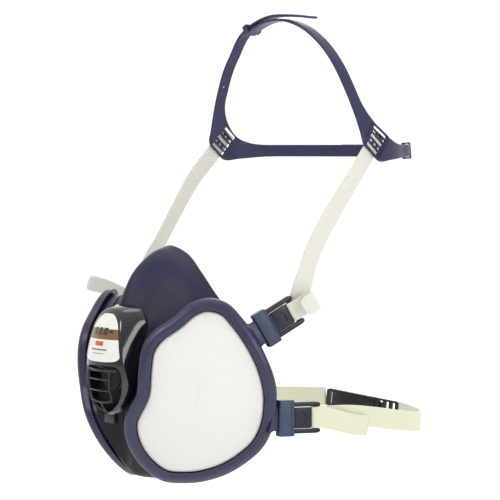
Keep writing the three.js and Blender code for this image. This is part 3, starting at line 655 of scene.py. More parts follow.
def filter_tray(side):
    """Dish with a shallow groove round its back and the port through it."""
    rings = []
    for s in TRAY_SCALES:
        groove = 0.5 if TRAY_GROOVE[0] < s < TRAY_GROOVE[1] else 0
        rings.append(filter_ring(TRAY_INSET, -TRAY_BACK + groove, s))
    floor = -TRAY_BACK + 1.5
    wall = (
        (0.35, -TRAY_BACK + 0.02), (0.1, -TRAY_BACK + 0.2), (0, -TRAY_BACK + 0.5), (0, TRAY_LIP - 0.2),
        (0.2, TRAY_LIP), (TRAY_SKIN - 0.2, TRAY_LIP), (TRAY_SKIN, TRAY_LIP - 0.2), (TRAY_SKIN, floor),
    )
    rings += [filter_ring(TRAY_INSET + i, d) for i, d in wall]
    rings += [filter_ring(TRAY_INSET + TRAY_SKIN, floor, s) for s in (0.9, 0.5, 0.02)]
    tray = loft("tray", rings, side=side)
    return sharpen(cut(tray, [port_rod(-14, -4, side)]), 40)


port_shift = np.eye(4)
port_shift[:3, 3] = placed(np.linalg.inv(FILTER), on_filter(*PORT_AT, 0.0))
PORT_FRAME = {1: FILTER @ port_shift, -1: MIRROR @ FILTER @ port_shift}


def port_rod(back, front, side):
    return moved(
        rod(PORT_RADIUS + GAP, front - back, (0, 0, (front + back) / 2), "z", 64, 0.01), PORT_FRAME[side])


def valve_seat(radius, low, high, bar_at):
    """Ring and a cross with a round hub in its middle."""
    rim = turned([
        (SEAT_BORE, low + 0.3), (SEAT_BORE + 0.3, low), (radius - 0.4, low), (radius, low + 0.4),
        (radius, high - 0.4), (radius - 0.4, high), (SEAT_BORE + 0.6, high), (SEAT_BORE, high - 0.4),
    ], True)
    bar, span, at = 1.9, 2 * SEAT_BORE + 0.8, (0, 0, bar_at)
    arms = [solid_box(size, at, 0.3) for size in ((span, bar, 1.5), (bar, span, 1.5))]
    return sharpen(union("seat", [rim, *arms, rod(2.2, bar, at, "z")]))


def valve_flap(radius, low, high):
    """Thin rubber disc, its rim turned down a little, with the stud that holds it."""
    under = low + (high - low) * 0.1
    return turned([
        (0.2, high + 0.1), (1.3, high + 0.1), (1.8, high), (radius * 0.7, high), (radius - 0.2, high - 0.08),
        (radius, high - 0.25), (radius, low + 0.12), (radius - 0.15, low), (radius * 0.7, under),
        (1.8, under), (0.2, under),
    ], False)


FLEECE_DOME = 3.2
FLEECE_INSET = 6.75
FLEECE_BACK = -2.3
CLOTH_STEPS = 20
CLOTH_CAP = 0.0012


def fleece_pad():
    """Left fleece pad in mm: rings of the front, then of the back, blown up a little as cloth."""
    scales = np.linspace(0.04, 0.93, 15)
    front = [filter_ring(FLEECE_INSET, -1.2 + FLEECE_DOME * (1 - s**2), s) for s in scales]
    edge = [
        filter_ring(FLEECE_INSET, -0.85, 0.965), filter_ring(FLEECE_INSET, -1.15, 0.985),
        filter_ring(FLEECE_INSET, -1.6), filter_ring(FLEECE_INSET, -2.1),
        filter_ring(FLEECE_INSET, FLEECE_BACK, 0.99),
    ]
    back = [filter_ring(FLEECE_INSET, FLEECE_BACK, s) for s in (0.8, 0.5, 0.04)]
    pad = loft("fleece", [r[::2] for r in front + edge + back])
    puff(pad, len(front) * (RING // 2))
    pad.modifiers.new("smooth", "SUBSURF").levels = 1
    return bake(pad)


def puff(pad, free):
    """Cloth under light pressure. Only the first points are free, and none moves further than the cap."""
    rest = np.array([v.co for v in pad.data.vertices])
    held = pad.vertex_groups.new(name="held")
    held.add(list(range(free, len(rest))), 1.0, "REPLACE")
    cloth = pad.modifiers.new("cloth", "CLOTH")
    cloth.settings.vertex_group_mass = "held"
    cloth.settings.use_pressure = True
    cloth.settings.uniform_pressure_force = 4
    cloth.settings.effector_weights.gravity = 0
    cloth.settings.tension_stiffness = 20
    cloth.point_cache.frame_end = CLOTH_STEPS
    for step in range(1, CLOTH_STEPS + 1):
        bpy.context.scene.frame_set(step)
    bake(pad)
    bpy.context.scene.frame_set(1)
    move = np.array([v.co for v in pad.data.vertices]) - rest
    length = np.linalg.norm(move, axis=1, keepdims=True)
    kept = rest + move * np.minimum(1, CLOTH_CAP / np.maximum(length, 1e-9))
    pad.data.vertices.foreach_set("co", kept.astype(np.float32).ravel())
    pad.vertex_groups.clear()
    pad.data.update()


pad_left = fleece_pad()
for name, side in SIDES:
    finish_piece(filter_rim(side), f"rim_{name}", "mask", NAVY, f"filter_rim_{name}")
    finish_piece(filter_tray(side), f"tray_{name}", "mask", NAVY, f"filter_tray_{name}")
    pad = pad_left if side == 1 else reflected(new_object("pad", pad_left.data.copy()))
    finish_piece(pad, f"fleece_{name}", "mask", FLEECE, f"filter_fleece_{name}")
    seat = moved(valve_seat(PORT_RADIUS, -12.4, -7.6, -11.2), PORT_FRAME[side])
    finish_piece(seat, f"seat_{name}", "mask", BLACK, f"inhalation_seat_{name}")
    flap = moved(valve_flap(9.2, -13.45, -12.75), PORT_FRAME[side])
    finish_piece(flap, f"flap_{name}", f"inhalation_flap_{name}", RUBBER, f"inhalation_flap_{name}")
    bed = nodes[f"carbon_bed_{name}"]
    bed.data.materials.clear()
    bed.data.materials.append(CARBON)


# ---------------------------------------------------------------- facepiece
FACE_COLUMNS = 168


def both_halves(half):
    half = np.array(half, float)
    return np.vstack([half, mirrored(half[1:-1][::-1])])


def face_ring(half, inset=0.0, back=0.0):
    """Whole ring from its left half, drawn in toward the middle line and moved back."""
    whole = both_halves(half)
    reach = np.hypot(whole[:, 0], whole[:, 2])
    keep = ((reach - inset) / reach)[:, None]
    points = np.concatenate([whole[:, :1] * keep, whole[:, 1:2] + back, whole[:, 2:] * keep], 1)
    t = np.linspace(0, 1, FACE_COLUMNS, endpoint=False)
    return spline_at(points, t, closed=True)


def between(rings, steps):
    """Rings laid on smooth curves through the given ones."""
    stack = np.stack(rings)
    t = np.linspace(0, 1, (len(rings) - 1) * steps + 1)
    columns = [spline_at(stack[:, k], t) for k in range(stack.shape[1])]
    return list(np.stack(columns, 1))


# Soft rolled edge that lies on the face, turned inward, as (inset from the seal ring, distance back).
LIP = (
    (0.25, 0.75), (0.95, 1.15), (2.2, 1.2), (4.5, 0.95), (6.8, 0.55), (8.3, 0.1), (9.2, -0.5), (9.5, -1.1),
    (9.2, -1.75), (8.2, -2.0), (6.6, -2.15), (5.1, -2.6),
)


def closed_in(rings, steps):
    """The rings and, for each (scale, forward), the last one drawn in toward its middle."""
    last = rings[-1]
    middle = last.mean(0)
    return rings + [middle + (last - middle) * scale + (0, -forward, 0) for scale, forward in steps]


def face_outside():
    rings = between([face_ring(half) for half in (SEAL, MIDDLE, FRONT, NOSE)], 12)
    return closed_in(rings, ((0.9, 0.25), (0.6, 0.45), (0.25, 0.5), (0.03, 0.5)))


def face_inside():
    insets = ((SEAL, 4, -3.5), (MIDDLE, SKIN + 0.6, 0), (FRONT, SKIN, 1.5), (NOSE, SKIN, SKIN))
    rings = between([face_ring(*inset) for inset in insets], 10)
    return closed_in(rings, ((0.8, 0.3), (0.4, 0.3), (0.03, 0.3)))


def facepiece():
    lip = [face_ring(SEAL, inset, back) for inset, back in LIP]
    shell = loft("facepiece", face_outside()[::-1] + lip + face_inside())
    tools = []
    for _, side in SIDES:
        tools.append(rim_room(side))
        tools.append(filter_disc(TRAY_INSET - GAP, -TRAY_BACK - GAP, -3, side))
        tools.append(port_rod(-16, -6, side))
    tools.append(rod(VALVE_RADIUS + GAP, 20, (0, -56, 0), "y", 96, 0.01))
    return sharpen(cut(shell, tools), 38)


finish_piece(facepiece(), "facepiece_skin", "mask", SOFT, "facepiece")


# ---------------------------------------------------------------- exhalation valve and cover
VALVE_FRAME = basis((0, -59.6, 0), (0, 0, 1), (0, -1, 0))
seat = moved(valve_seat(VALVE_RADIUS, -4.6, 0, -2.4), VALVE_FRAME)
finish_piece(seat, "exhalation_ring", "mask", BLACK, "exhalation_seat")
flap = moved(valve_flap(9, 0.35, 1.05), VALVE_FRAME)
finish_piece(flap, "exhalation_disc", "exhalation_flap", RUBBER, "exhalation_flap")

COVER_BACK = -50.2
COVER_SKIN = 1.7
COVER_MIDDLE = np.array((0, 6.0))
CLIP = ((8.8, 3, 4.6), (0, -60.4, -23.6))
# Left halves of the cover's outlines as (x, z), and its middle line as (z, y).
COVER_BASE = (
    (0, 36), (7.5, 35.9), (13, 34), (16.4, 29), (17.4, 21), (18, 6), (17.6, -5), (15.2, -13), (10.8, -19.5),
    (5, -23.4), (0, -24.2),
)
COVER_FACE = (
    (0, 34.6), (4.6, 34.1), (8.0, 32), (11.0, 27), (13.1, 21), (14.6, 15), (16.4, 8), (18.2, 1), (18.9, -4.5),
    (17.2, -10), (13.6, -15), (8.5, -19), (4, -21.2), (0, -21.8),
)
COVER_OPENING = (
    (0, 4.2), (8, 4.2), (12.6, 3.6), (14.4, 1), (14.9, -4), (13.9, -9.6), (10.6, -14.6), (5.4, -18.2),
    (0, -19.4),
)
LABEL_OUTLINE = (
    (0, 32), (3.8, 31.7), (6.6, 30), (9.3, 27), (11.8, 20.5), (13.7, 13), (14.3, 9.6), (12.6, 8),
    (0, 7.2),
)
COVER_RIDGE = (
    (-26, -58), (-21.8, -62.1), (-16.5, -66.5), (-12, -68.8), (-6, -70), (2, -70.2), (10, -69.7), (16, -68.5),
    (22, -66.7), (27, -64.7), (31.5, -62.1), (35, -59.5), (38, -57),
)
COVER_CROWN = 0.0195
# Steps from the base outline to the front: (share of the front outline, share of the depth).
COVER_SIDE = (
    (0, 0), (0.06, 0.25), (0.2, 0.5), (0.42, 0.72), (0.66, 0.87), (0.84, 0.95), (0.93, 0.985), (1, 1),
)
ridge_fine = even([(z, y, 0) for z, y in COVER_RIDGE], 90)


def cover_front(x, z, back=0.0):
    """y of the cover's crowned front."""
    return np.interp(z, ridge_fine[:, 0], ridge_fine[:, 1]) + COVER_CROWN * np.asarray(x) ** 2 + back


def whole_outline(half, count=144):
    """Closed outline of (x, z) from its left half, which starts and ends on the middle line."""
    ring = even(both_halves([(x, 0, z) for x, z in half]), count * 4, closed=True)
    start = np.argmax(ring[:, 2] - 0.01 * abs(ring[:, 0]))
    ring = np.roll(ring, -start, 0)[::4]
    return ring[:, [0, 2]]


def shrunk(outline_xz, inset):
    """Outline moved in by inset along its own normal."""
    step = np.roll(outline_xz, -1, 0) - np.roll(outline_xz, 1, 0)
    along = step / np.linalg.norm(step, axis=1, keepdims=True)
    return outline_xz + np.stack([along[:, 1], -along[:, 0]], 1) * inset


base_outline = whole_outline(COVER_BASE)
face_outline = whole_outline(COVER_FACE)


def cover_ring(blend, rise, skin=0.0, scale=1.0):
    """Ring between the base outline (0) and the face outline (1), raised toward the front by rise."""
    flat = shrunk(base_outline * (1 - blend) + face_outline * blend, skin)
    flat = flat * scale + COVER_MIDDLE * (1 - scale)
    front = cover_front(flat[:, 0], flat[:, 1], skin)
    return np.stack([flat[:, 0], COVER_BACK + (front - COVER_BACK) * rise, flat[:, 1]], 1)


def layered(outline_half, depths):
    """Closed solid that follows the crowned front: (depth behind the front, growth of the outline) pairs."""
    rings = []
    for k, (depth, grow) in enumerate(depths):
        flat = shrunk(whole_outline(outline_half), -grow)
        scales = (0.04, 0.35, 0.7, 1) if k == 0 else (1,)
        if k == len(depths) - 1:
            scales = (1, 0.7, 0.35, 0.04)
        for scale in scales:
            x, z = (flat.mean(0) + (flat - flat.mean(0)) * scale).T
            rings.append(np.stack([x, cover_front(x, z, depth), z], 1))
    return loft("layered", rings)


def cover_shell():
    outer = [cover_ring(*step) for step in COVER_SIDE]
    outer += [cover_ring(1, 1, scale=s) for s in (0.94, 0.8, 0.6, 0.4, 0.2, 0.03)]
    inner = [cover_ring(*step, COVER_SKIN) for step in COVER_SIDE]
    inner += [cover_ring(1, 1, COVER_SKIN, s) for s in (0.8, 0.6, 0.4, 0.2, 0.03)]
    tools = [
        layered(LABEL_OUTLINE, ((-2, 0.35), (0.45, 0.25))),
        layered(COVER_OPENING, ((-2, 1.7), (0.0, 1.1), (1.0, 0.15), (1.2, 0), (5, 0))),
        *[rim_room(side) for _, side in SIDES],
        loft("face_room", face_outside()),
    ]
    return sharpen(keep_largest(cut(loft("cover", outer[::-1] + inner), tools)), 35)


def keep_largest(o):
    """Leaves only the biggest connected part of a mesh."""
    bm = bmesh.new()
    bm.from_mesh(o.data)
    left, groups = set(bm.verts), []
    while left:
        stack, group = [left.pop()], []
        while stack:
            vertex = stack.pop()
            group.append(vertex)
            for edge in vertex.link_edges:
                other = edge.other_vert(vertex)
                if other in left:
                    left.remove(other)
                    stack.append(other)
        groups.append(group)
    groups.sort(key=len)
    bmesh.ops.delete(bm, geom=[v for g in groups[:-1] for v in g], context="VERTS")
    bm.to_mesh(o.data)
    bm.free()
    return o


def grille():
    """Ladder of thin bars that follows the crowned front, with a stem down to the lower edge."""
    def bar(points, width):
        path = even([(x, cover_front(x, z, 0.75), z) for x, z in points], 24)
        along = unit(np.gradient(path, axis=0))
        out = np.tile((0.0, -1.0, 0.0), (len(path), 1))
        side_way = unit(np.cross(along, out))
        face_way = np.cross(side_way, along)
        section = rounded_section(width, 1.1, 0.3, 2)
        rings = [p + section[:, :1] * s + section[:, 1:] * f for p, s, f in zip(path, side_way, face_way)]
        return loft("bar", rings)

    half = 8.8
    bars = [bar([(-half, z), (0, z), (half, z)], 0.9) for z in (-2.1, -8.0)]
    bars.append(bar([(-12.9, 2.7), (0, 2.7), (12.9, 2.7)], 1.5))
    bars.append(bar([(-half, -13.4), (-5, -14.1), (0, -14.4), (5, -14.1), (half, -13.4)], 1.0))
    bars += [bar([(x, 3), (x, -6), (x, -13.8)], 0.9) for x in (-half, half)]
    bars.append(bar([(0, -14), (0, -17), (0, -20.2)], 1.2))
    return union("grille", bars)


finish_piece(cover_shell(), "valve_cover_shell", "mask", GLOSS, "valve_cover")
finish_piece(solid_box(*CLIP, 0.5), "cover_clip", "mask", BLACK)
finish_piece(grille(), "cover_grille", "mask", BLACK)
label = layered(LABEL_OUTLINE, ((0.08, -0.12), (0.12, 0.0), (0.42, 0.0)))
finish_piece(sharpen(label), "cover_label_film", "mask", LABEL, "cover_label")


# ---------------------------------------------------------------- buckles
def crescent(radius, width, height, at):
    """Raised thumb grip in the shape of a crescent moon, lying on a plate."""
    rings = []
    for a in np.linspace(-1.25, 1.25, 22):
        thick = width * math.cos(a * 1.15) ** 0.8 + 0.08
        centre = np.array((at[0] + radius * math.sin(a), at[1] + radius * math.cos(a) - radius, at[2]))
        across = np.array((math.sin(a), math.cos(a), 0))
        section = rounded_section(thick, height * 2, min(thick, height) * 0.45, 2)
        rings.append(centre + section[:, :1] * across + section[:, 1:] * (0, 0, 1))
    return loft("grip", rings)


def buckle_body(m):
    """Rails and strap bar of one buckle."""
    inner = BUCKLE_HALF - 2.4
    outline = ((BUCKLE_HALF, 3), (BUCKLE_HALF, 24.6), (BUCKLE_HALF - 0.7, 26.2), (inner, 26.2), (inner, 3))
    rails = [plate_outline([(s * x, y) for x, y in outline][::-s], 3.2, 0, 0.45) for s in (-1, 1)]
    floor = solid_box((14.0, 7.5, 1.2), (0, 7.2, -1.4), 0.3)
    bar = rod(BAR_RADIUS, 15.6, (0, BUCKLE_REACH, 0), "x", 40, 0.2)
    return sharpen(moved(union("buckle", [*rails, floor, bar]), m))


def buckle_collar(m, length):
    """Thick sleeve round the buckle next to the lug, with a shallow channel along its top."""
    middle = 2.3 + length / 2
    outer = solid_box((19, length, 6), (0, middle, 0), 0.7, 4)
    groove = solid_box((21, 0.7, 0.8), (0, middle + 2.4, 3.1), 0.2)
    mouth = solid_box((12.4, 3, 3.2), (0, middle + length / 2, 0.9), 0.4)
    return sharpen(moved(cut(outer, [groove, mouth]), m))


LEVER_OUTLINE = ((-5.5, 11.2), (5.5, 11.2), (5.5, 20.2), (4.9, 21.1), (-4.9, 21.1), (-5.5, 20.2))


def buckle_lever(m):
    blade = plate_outline(LEVER_OUTLINE, 1.7, 0.95, 0.4)
    knuckle = rod(1.75, 10.6, (0, LEVER_PIVOT, 0), "x", 40, 0.25)
    grip = crescent(3.6, 1.1, 0.45, (0, 18.4, 1.75))
    lever = union("lever", [blade, knuckle, grip])
    return sharpen(moved(cut(lever, [rod(1.1, 14, (0, LEVER_PIVOT, 0), "x", 32, 0.01)]), m))


for level, placing, collar in (("upper", UPPER_BUCKLE, 7.4), ("lower", LOWER_BUCKLE, 8.6)):
    for name, side in SIDES:
        m = buckle_frame(placing, side)
        tag = f"{level}_{name}"
        finish_piece(buckle_body(m), f"buckle_body_{tag}", "mask", NAVY_DARK, f"buckle_frame_{tag}")
        finish_piece(buckle_collar(m, collar), f"buckle_collar_{tag}", "mask", BLUE_GREY)
        finish_piece(
            buckle_lever(m), f"lever_{tag}_piece", f"lever_{tag}", NAVY_DARK, f"buckle_lever_{tag}")
        pin = moved(rod(0.9, 16, (0, LEVER_PIVOT, 0), "x", 32, 0.2), m)
        finish_piece(pin, f"pin_{tag}", "mask", STEEL, f"buckle_pin_{tag}")


# ---------------------------------------------------------------- straps
def strap(points, across, width, steps, side, end_round=0.6):
    """Knitted strap along a curve, with round selvedges and a length map in mm."""
    t = np.linspace(0, 1, steps + 1)
    path = spline_at(points, t)
    along = unit(np.gradient(path, axis=0))
    sides = spline_at(across, t)
    sides = unit(sides - np.sum(sides * along, 1, keepdims=True) * along)
    faces = np.cross(along, sides)
    run = run_length(path)
    section = rounded_section(width, STRAP_THICK, STRAP_THICK * 0.42, 3)
    reach = np.clip(run / end_round, 0, 1)
    narrow = 0.45 + 0.55 * np.sqrt(1 - (1 - reach) ** 2)
    rings = (path[:, None] + section[None, :, :1] * (sides * narrow[:, None])[:, None]
             + section[None, :, 1:] * faces[:, None])
    shown = section[:, 0]
    uv = np.stack([np.repeat(run, len(shown)), np.tile(shown, len(run))], 1)
    return loft("strap", rings, side=side, uv=uv)


def wrap_points(m, tail):
    local = [
        *tail, (0, BUCKLE_REACH - WRAP * 0.7, WRAP * 0.75), (0, BUCKLE_REACH - WRAP, 0),
        (0, BUCKLE_REACH - WRAP * 0.7, -WRAP * 0.75), (0, BUCKLE_REACH + 1.5, -WRAP),
    ]
    return placed(m, local)


crown_fine = np.array([*CROWN_POINTS, *mirrored(CROWN_POINTS[:-1])[::-1]], float)
crown_curve = spline_at(crown_fine, np.linspace(0, 1, 2401))
crown_run = run_length(crown_curve)
CROWN_TOP = crown_run[-1] / 2
REAR_SPAN = sum(REAR_RADII) / 2
REAR_START = math.asin((REAR_CENTRE_Y - KNEE[1]) / REAR_RADII[1])


def crown_reach(up):
    if up <= 0:
        return np.array((0, -0.1, 0.99)) * up
    at = min(up, crown_run[-1])
    return np.array([np.interp(at, crown_run, crown_curve[:, k]) for k in range(3)]) - KNEE


def rear_reach(along):
    angle = along / REAR_SPAN - REAR_START
    a, b = REAR_RADII
    start = (a * math.cos(-REAR_START), b * math.sin(-REAR_START))
    return np.array((a * math.cos(angle) - start[0], b * math.sin(angle) - start[1], 0))


def on_cradle(along, up, height=0.0):
    """Point of the cradle's sheet on the left: distance back, distance up, height above the sheet."""
    middle = KNEE + crown_reach(up) + rear_reach(along)
    back = KNEE + crown_reach(up) + rear_reach(along + 0.5) - middle
    higher = KNEE + crown_reach(up + 0.5) + rear_reach(along) - middle
    return middle + unit(np.cross(back, higher)) * height


def ladder_frame():
    at = on_cradle(*LADDER_AT)
    along = on_cradle(LADDER_AT[0] + LADDER_ALONG[0] * 3, LADDER_AT[1] + LADDER_ALONG[1] * 3) - at
    side_way = on_cradle(LADDER_AT[0] + 2, LADDER_AT[1]) - at
    up = on_cradle(LADDER_AT[0], LADDER_AT[1] + 2) - at
    return basis(at, along, np.cross(side_way, up))


LADDER = ladder_frame()


CURLED_TAIL = (
    (0, BUCKLE_REACH + 2, 9.5), (0, BUCKLE_REACH + 6, 10.4), (0, BUCKLE_REACH + 9.8, 9),
    (0, BUCKLE_REACH + 10.6, 6), (0, BUCKLE_REACH + 7.6, 3.6), (0, BUCKLE_REACH + 3, 3),
)
LOOSE_TAIL = ((-12, 14, 26), (-6, 19, 15.5), (-1, 20.8, 6))
UPPER_ROUTE = ((68.5, 14.5, 50), (66.2, 22.5, 64), (66.5, 36, 84), (67.6, 49, 101))
NECK_TAIL = ((79.5, 50, -29), (79.6, 41, -27.6), (79, 32, -25.2))
LEFT_ROUTE = (
    (76.5, 38, -22.6), (76, 58, -25.4), (72.5, 80, -29.4), (65, 102, -33), (52, 116, -34),
    (38.5, 122.6, -33.6),
)
RIGHT_ROUTE = ((76, 38, -23.5), (74, 55, -27), (68, 75, -29), (57, 93, -29.5), (42, 105, -29))


def upper_strap(tail, face, side):
    """Strap from its free tail round the buckle bar and up to the ladder. face -1 lies inside the plate."""
    m = basis(*UPPER_BUCKLE)
    lift = face * (CRADLE_THICK / 2 + STRAP_THICK / 2 + (0.4 if face < 0 else 1) * GAP)
    along = np.array((-7.5, -3, 1, 5, 9))[:, None]
    over = [on_cradle(*spot, lift) for spot in np.array(LADDER_AT) + along * LADDER_ALONG]
    points = [*wrap_points(m, tail), *UPPER_ROUTE, *over]
    bar, rung = m[:3, 0], LADDER[:3, 0]
    return strap(points, [bar, bar, bar, rung, rung], 10, 230, side, 3.5 if face < 0 else 1.5)


for name, side, tail, face in (("left", 1, CURLED_TAIL, -1), ("right", -1, LOOSE_TAIL, 1)):
    o = upper_strap(tail, face, side)
    finish_piece(o, f"strap_upper_{name}", None, STRAP, f"upper_strap_{name}")
    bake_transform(o)

CLASP_LINE = CLASP_LEFT - CLASP_RIGHT
CLASP_HALF = np.linalg.norm(CLASP_LINE) / 2
CLASP = basis((CLASP_LEFT + CLASP_RIGHT) / 2, CLASP_LINE, (-CLASP_LINE[1], CLASP_LINE[0], 0))


def neck_strap(route, end, side):
    """Strap from its free tail round the buckle bar and back to the clasp."""
    m = basis(*LOWER_BUCKLE)
    wrap = wrap_points(m, [(0, BUCKLE_REACH + 3, WRAP + 0.2)])
    return strap([*NECK_TAIL, *wrap, *route, end], [-m[:3, 0], (0, 0, 1)], 11, 260, side)


left_end = placed(CLASP, (0, CLASP_HALF + 1, 0))
right_end = mirrored(placed(CLASP, (0, -CLASP_HALF - 1, 0)))
for name, side, route, end in (("left", 1, LEFT_ROUTE, left_end), ("right", -1, RIGHT_ROUTE, right_end)):
    o = neck_strap(route, end, side)
    finish_piece(o, f"strap_neck_{name}", None, NECK_STRAP, f"neck_strap_{name}")
    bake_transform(o)


# ---------------------------------------------------------------- head cradle
# Where the arms run into the corner: each pair is the sheet's inner and outer edge as (along, up).
CORNER = (
    ((4, 24), (-4, 24)), ((5, 18.5), (-4.2, 14)), ((7.5, 12.5), (-4.8, 6)), ((11.5, 6.5), (-5.4, -2)),
    ((14.5, 3.4), (0, -6.9)), ((18.5, 0.6), (5.4, -11.6)), ((26, -1.8), (17, -11)), ((35, -2.6), (33, -9.8)),
)
CRADLE_REAR_START = 34
SHEET_ACROSS = (0, 0.05, 0.13, 0.3, 0.5, 0.7, 0.87, 0.95, 1.0)
EDGE_ROUND = 0.6
LIP_STEPS = (0.05, 0.25, 0.5, 0.75, 0.95)


def cradle_half(outer_arm, crown_end, rear_end):
    """One half of the cradle with rounded edges, laid over smooth curves through the corner's stations."""
    up, along = CORNER[0][0][1], CRADLE_REAR_START
    steps = round((crown_end - up) / 8)
    crown = [up + (crown_end - up) * s / steps for s in range(steps, 0, -1)]
    rear_steps = round((rear_end - along - 1) / 7)
    rear = [along + (rear_end - along) * s / rear_steps for s in range(1, rear_steps + 1)]
    stations = [((CRADLE_ARM / 2, u), (-CRADLE_ARM / 2, u)) for u in crown]
    stations += CORNER
    stations += [((a, CRADLE_REAR[1]), (a, CRADLE_REAR[0])) for a in rear]
    t = np.linspace(0, 1, (len(stations) - 1) * 5 + 1)
    rings = []
    for k, (a, b) in enumerate(zip(*(spline_at(edge, t) for edge in zip(*stations)))):
        lift = 0.0
        if outer_arm == "crown" and k / 5 < len(crown):
            past = max(0.0, a[1] - CROWN_TOP)
            lift = LAYER * smoothstep(a[1], CROWN_TOP - 48, CROWN_TOP - 30) + TAIL_RISE * past**2
        if outer_arm == "rear" and k / 5 > len(crown) + 7:
            lift = LAYER * smoothstep(a[0], along, along + 13)
        rings.append(edge_rounded(a, b, lift))
    return loft("cradle", rings)


def edge_rounded(a, b, lift):
    """Section of the sheet between two of its points, with half-round edges."""
    half = CRADLE_THICK / 2
    width = np.linalg.norm(on_cradle(*a) - on_cradle(*b))
    ring = []
    for sign in (1, -1):
        for f in SHEET_ACROSS[::sign]:
            inward = min(1, min(f, 1 - f) * width / EDGE_ROUND)
            drop = half * (0.45 + 0.55 * math.sin(inward * math.pi / 2))
            ring.append(on_cradle(*(a * (1 - f) + b * f), lift + sign * drop))
    return ring


def ladder_tools():
    slots = [solid_box((10.6, 2.5, 8), (0, y, 0), 0.45) for y in LADDER_SLOTS]
    rows = [(low + high) / 2 for low, high in zip(LADDER_SLOTS, LADDER_SLOTS[1:])]
    windows = [solid_box((2.7, 1.9, 8), (x, y, 0), 0.25) for y in rows for x in (-3.6, 0, 3.6)]
    recess = solid_box((12.4, 15.2, 2), (0, 2.3, 1.25), 0.2)
    return [moved(o, LADDER) for o in [recess, *slots, *windows]]


def ladder_lip():
    """Thin raised border round the ladder's openings that follows the curved sheet."""
    corners = np.array(((-6.6, -5.6), (6.6, -5.6), (6.6, 10.4), (-6.6, 10.4)))
    track = [a + (b - a) * f for a, b in zip(corners, np.roll(corners, -1, 0)) for f in LIP_STEPS]
    rings = []
    for k, spot in enumerate(track):
        ahead = unit(track[(k + 1) % len(track)] - track[k - 1])
        out_way = np.array((ahead[1], -ahead[0]))
        section = ((-0.4, 0.4), (-0.3, 1.15), (0.3, 1.15), (0.4, 0.4))
        rings.append([on_ladder(*(spot + out_way * across), rise) for across, rise in section])
    return loft("lip", rings, closed=True)


def on_ladder(x, y, height):
    """Point of the sheet by distances across and along the ladder."""
    c, s = LADDER_ALONG
    return on_cradle(LADDER_AT[0] + s * x + c * y, LADDER_AT[1] - c * x + s * y, height)


def sheet_frame(along, up, arm):
    """Frame on the sheet: y runs along the arm, z looks out."""
    at = on_cradle(along, up)
    ahead = on_cradle(along, up + 1) if arm == "crown" else on_cradle(along + 1, up)
    return basis(at, ahead - at, on_cradle(along, up, 1) - at)


def keeper_loop(along, up, arm, width):
    """Loop at an arm's end that the other half's arm runs through."""
    half = CRADLE_THICK / 2
    window_low = half + 0.1
    window_high = LAYER + half + KEEPER_SLACK
    high = window_high + 0.75
    outer = solid_box((width, 3.6, high + half), (0, 0, (high - half) / 2), 0.35)
    window = (width - 1.6, 9, window_high - window_low)
    inner = solid_box(window, (0, 0, (window_high + window_low) / 2), 0.3)
    return moved(cut(outer, [inner]), sheet_frame(along, up, arm))


KEEPER_SLACK = 0.35
KEEPER_BACK = 2.6
CROWN_KEEPER = CROWN_TOP + 27
CROWN_TAIL = CROWN_TOP + 25
REAR_TAIL = REAR_SPAN * (1.9 + REAR_START)
REAR_KEEPER = REAR_SPAN * (math.pi - 0.84 + REAR_START)
REAR_MIDDLE = sum(CRADLE_REAR) / 2


left_half = union("cradle", [
    cradle_half("rear", CROWN_KEEPER, REAR_TAIL),
    keeper_loop(0, CROWN_KEEPER - KEEPER_BACK, "crown", 10.4), ladder_lip()])
left_half = cut(left_half, ladder_tools())
right_half = union("cradle", [
    cradle_half("crown", CROWN_TAIL, REAR_KEEPER),
    keeper_loop(REAR_KEEPER - KEEPER_BACK, REAR_MIDDLE, "rear", 9.2), ladder_lip()])
arm_hole = moved(rod(1.0, 8, (0, 0, 0), "z", 24, 0.01), sheet_frame(0, 34, "crown"))
right_half = reflected(cut(right_half, [*ladder_tools(), arm_hole]))
finish_piece(sharpen(left_half), "cradle_left", "head_harness", CRADLE, "cradle_half_left")
finish_piece(sharpen(right_half), "cradle_right", "head_harness", CRADLE, "cradle_half_right")


# ---------------------------------------------------------------- neck clasp
SOCKET_START = CLASP_HALF - SOCKET_LENGTH
CLASP_WIDE = 5.25
CLASP_NARROW = 4.4
SOCKET_SLOTS = ((4.6, 2.4), (8.8, 2.0), (13, 2.0))


def clasp_hook():
    low, high = -CLASP_HALF, SOCKET_START - GAP
    outline = (
        (-CLASP_NARROW, low), (CLASP_NARROW, low), (CLASP_WIDE, low + 1.6), (CLASP_WIDE, high),
        (-CLASP_WIDE, high), (-CLASP_WIDE, low + 1.6),
    )
    parts = [
        plate_outline(outline, 2.6, 0, 0.45),
        solid_box((5.6, 6.6, 1.3), (0, high + 2.5, 2.2), 0.3),
        solid_box((5.6, 1.3, 3.2), (0, high + 5.15, 1.2), 0.3),
        solid_box((5.6, 3.4, 1.9), (0, high - 1.5, 1.9), 0.4),
        crescent(3.2, 1.1, 0.5, (0, high - 6.5, 1.3)),
    ]
    tools = [
        solid_box((7.9, 1.8, 6), (0, low + 3.4, 0), 0.4),
        solid_box((5, 11, 1.2), (0, low + 16, 1.5), 0.5),
        *[solid_box((1.5, 1.5, 6), (x, low + 6.2, 0), 0.3) for x in (-2.6, 2.6)],
    ]
    return sharpen(moved(cut(union("hook", parts), tools), CLASP))


def clasp_socket():
    low, high = SOCKET_START, CLASP_HALF
    outline = (
        (-CLASP_WIDE, low), (CLASP_WIDE, low), (CLASP_WIDE, high - 1), (4.5, high), (-4.5, high),
        (-CLASP_WIDE, high - 1),
    )
    tools = [solid_box((8.2, width, 6), (0, low + at, 0), 0.3) for at, width in SOCKET_SLOTS]
    return sharpen(moved(cut(plate_outline(outline, 1.5, 0, 0.35), tools), CLASP))


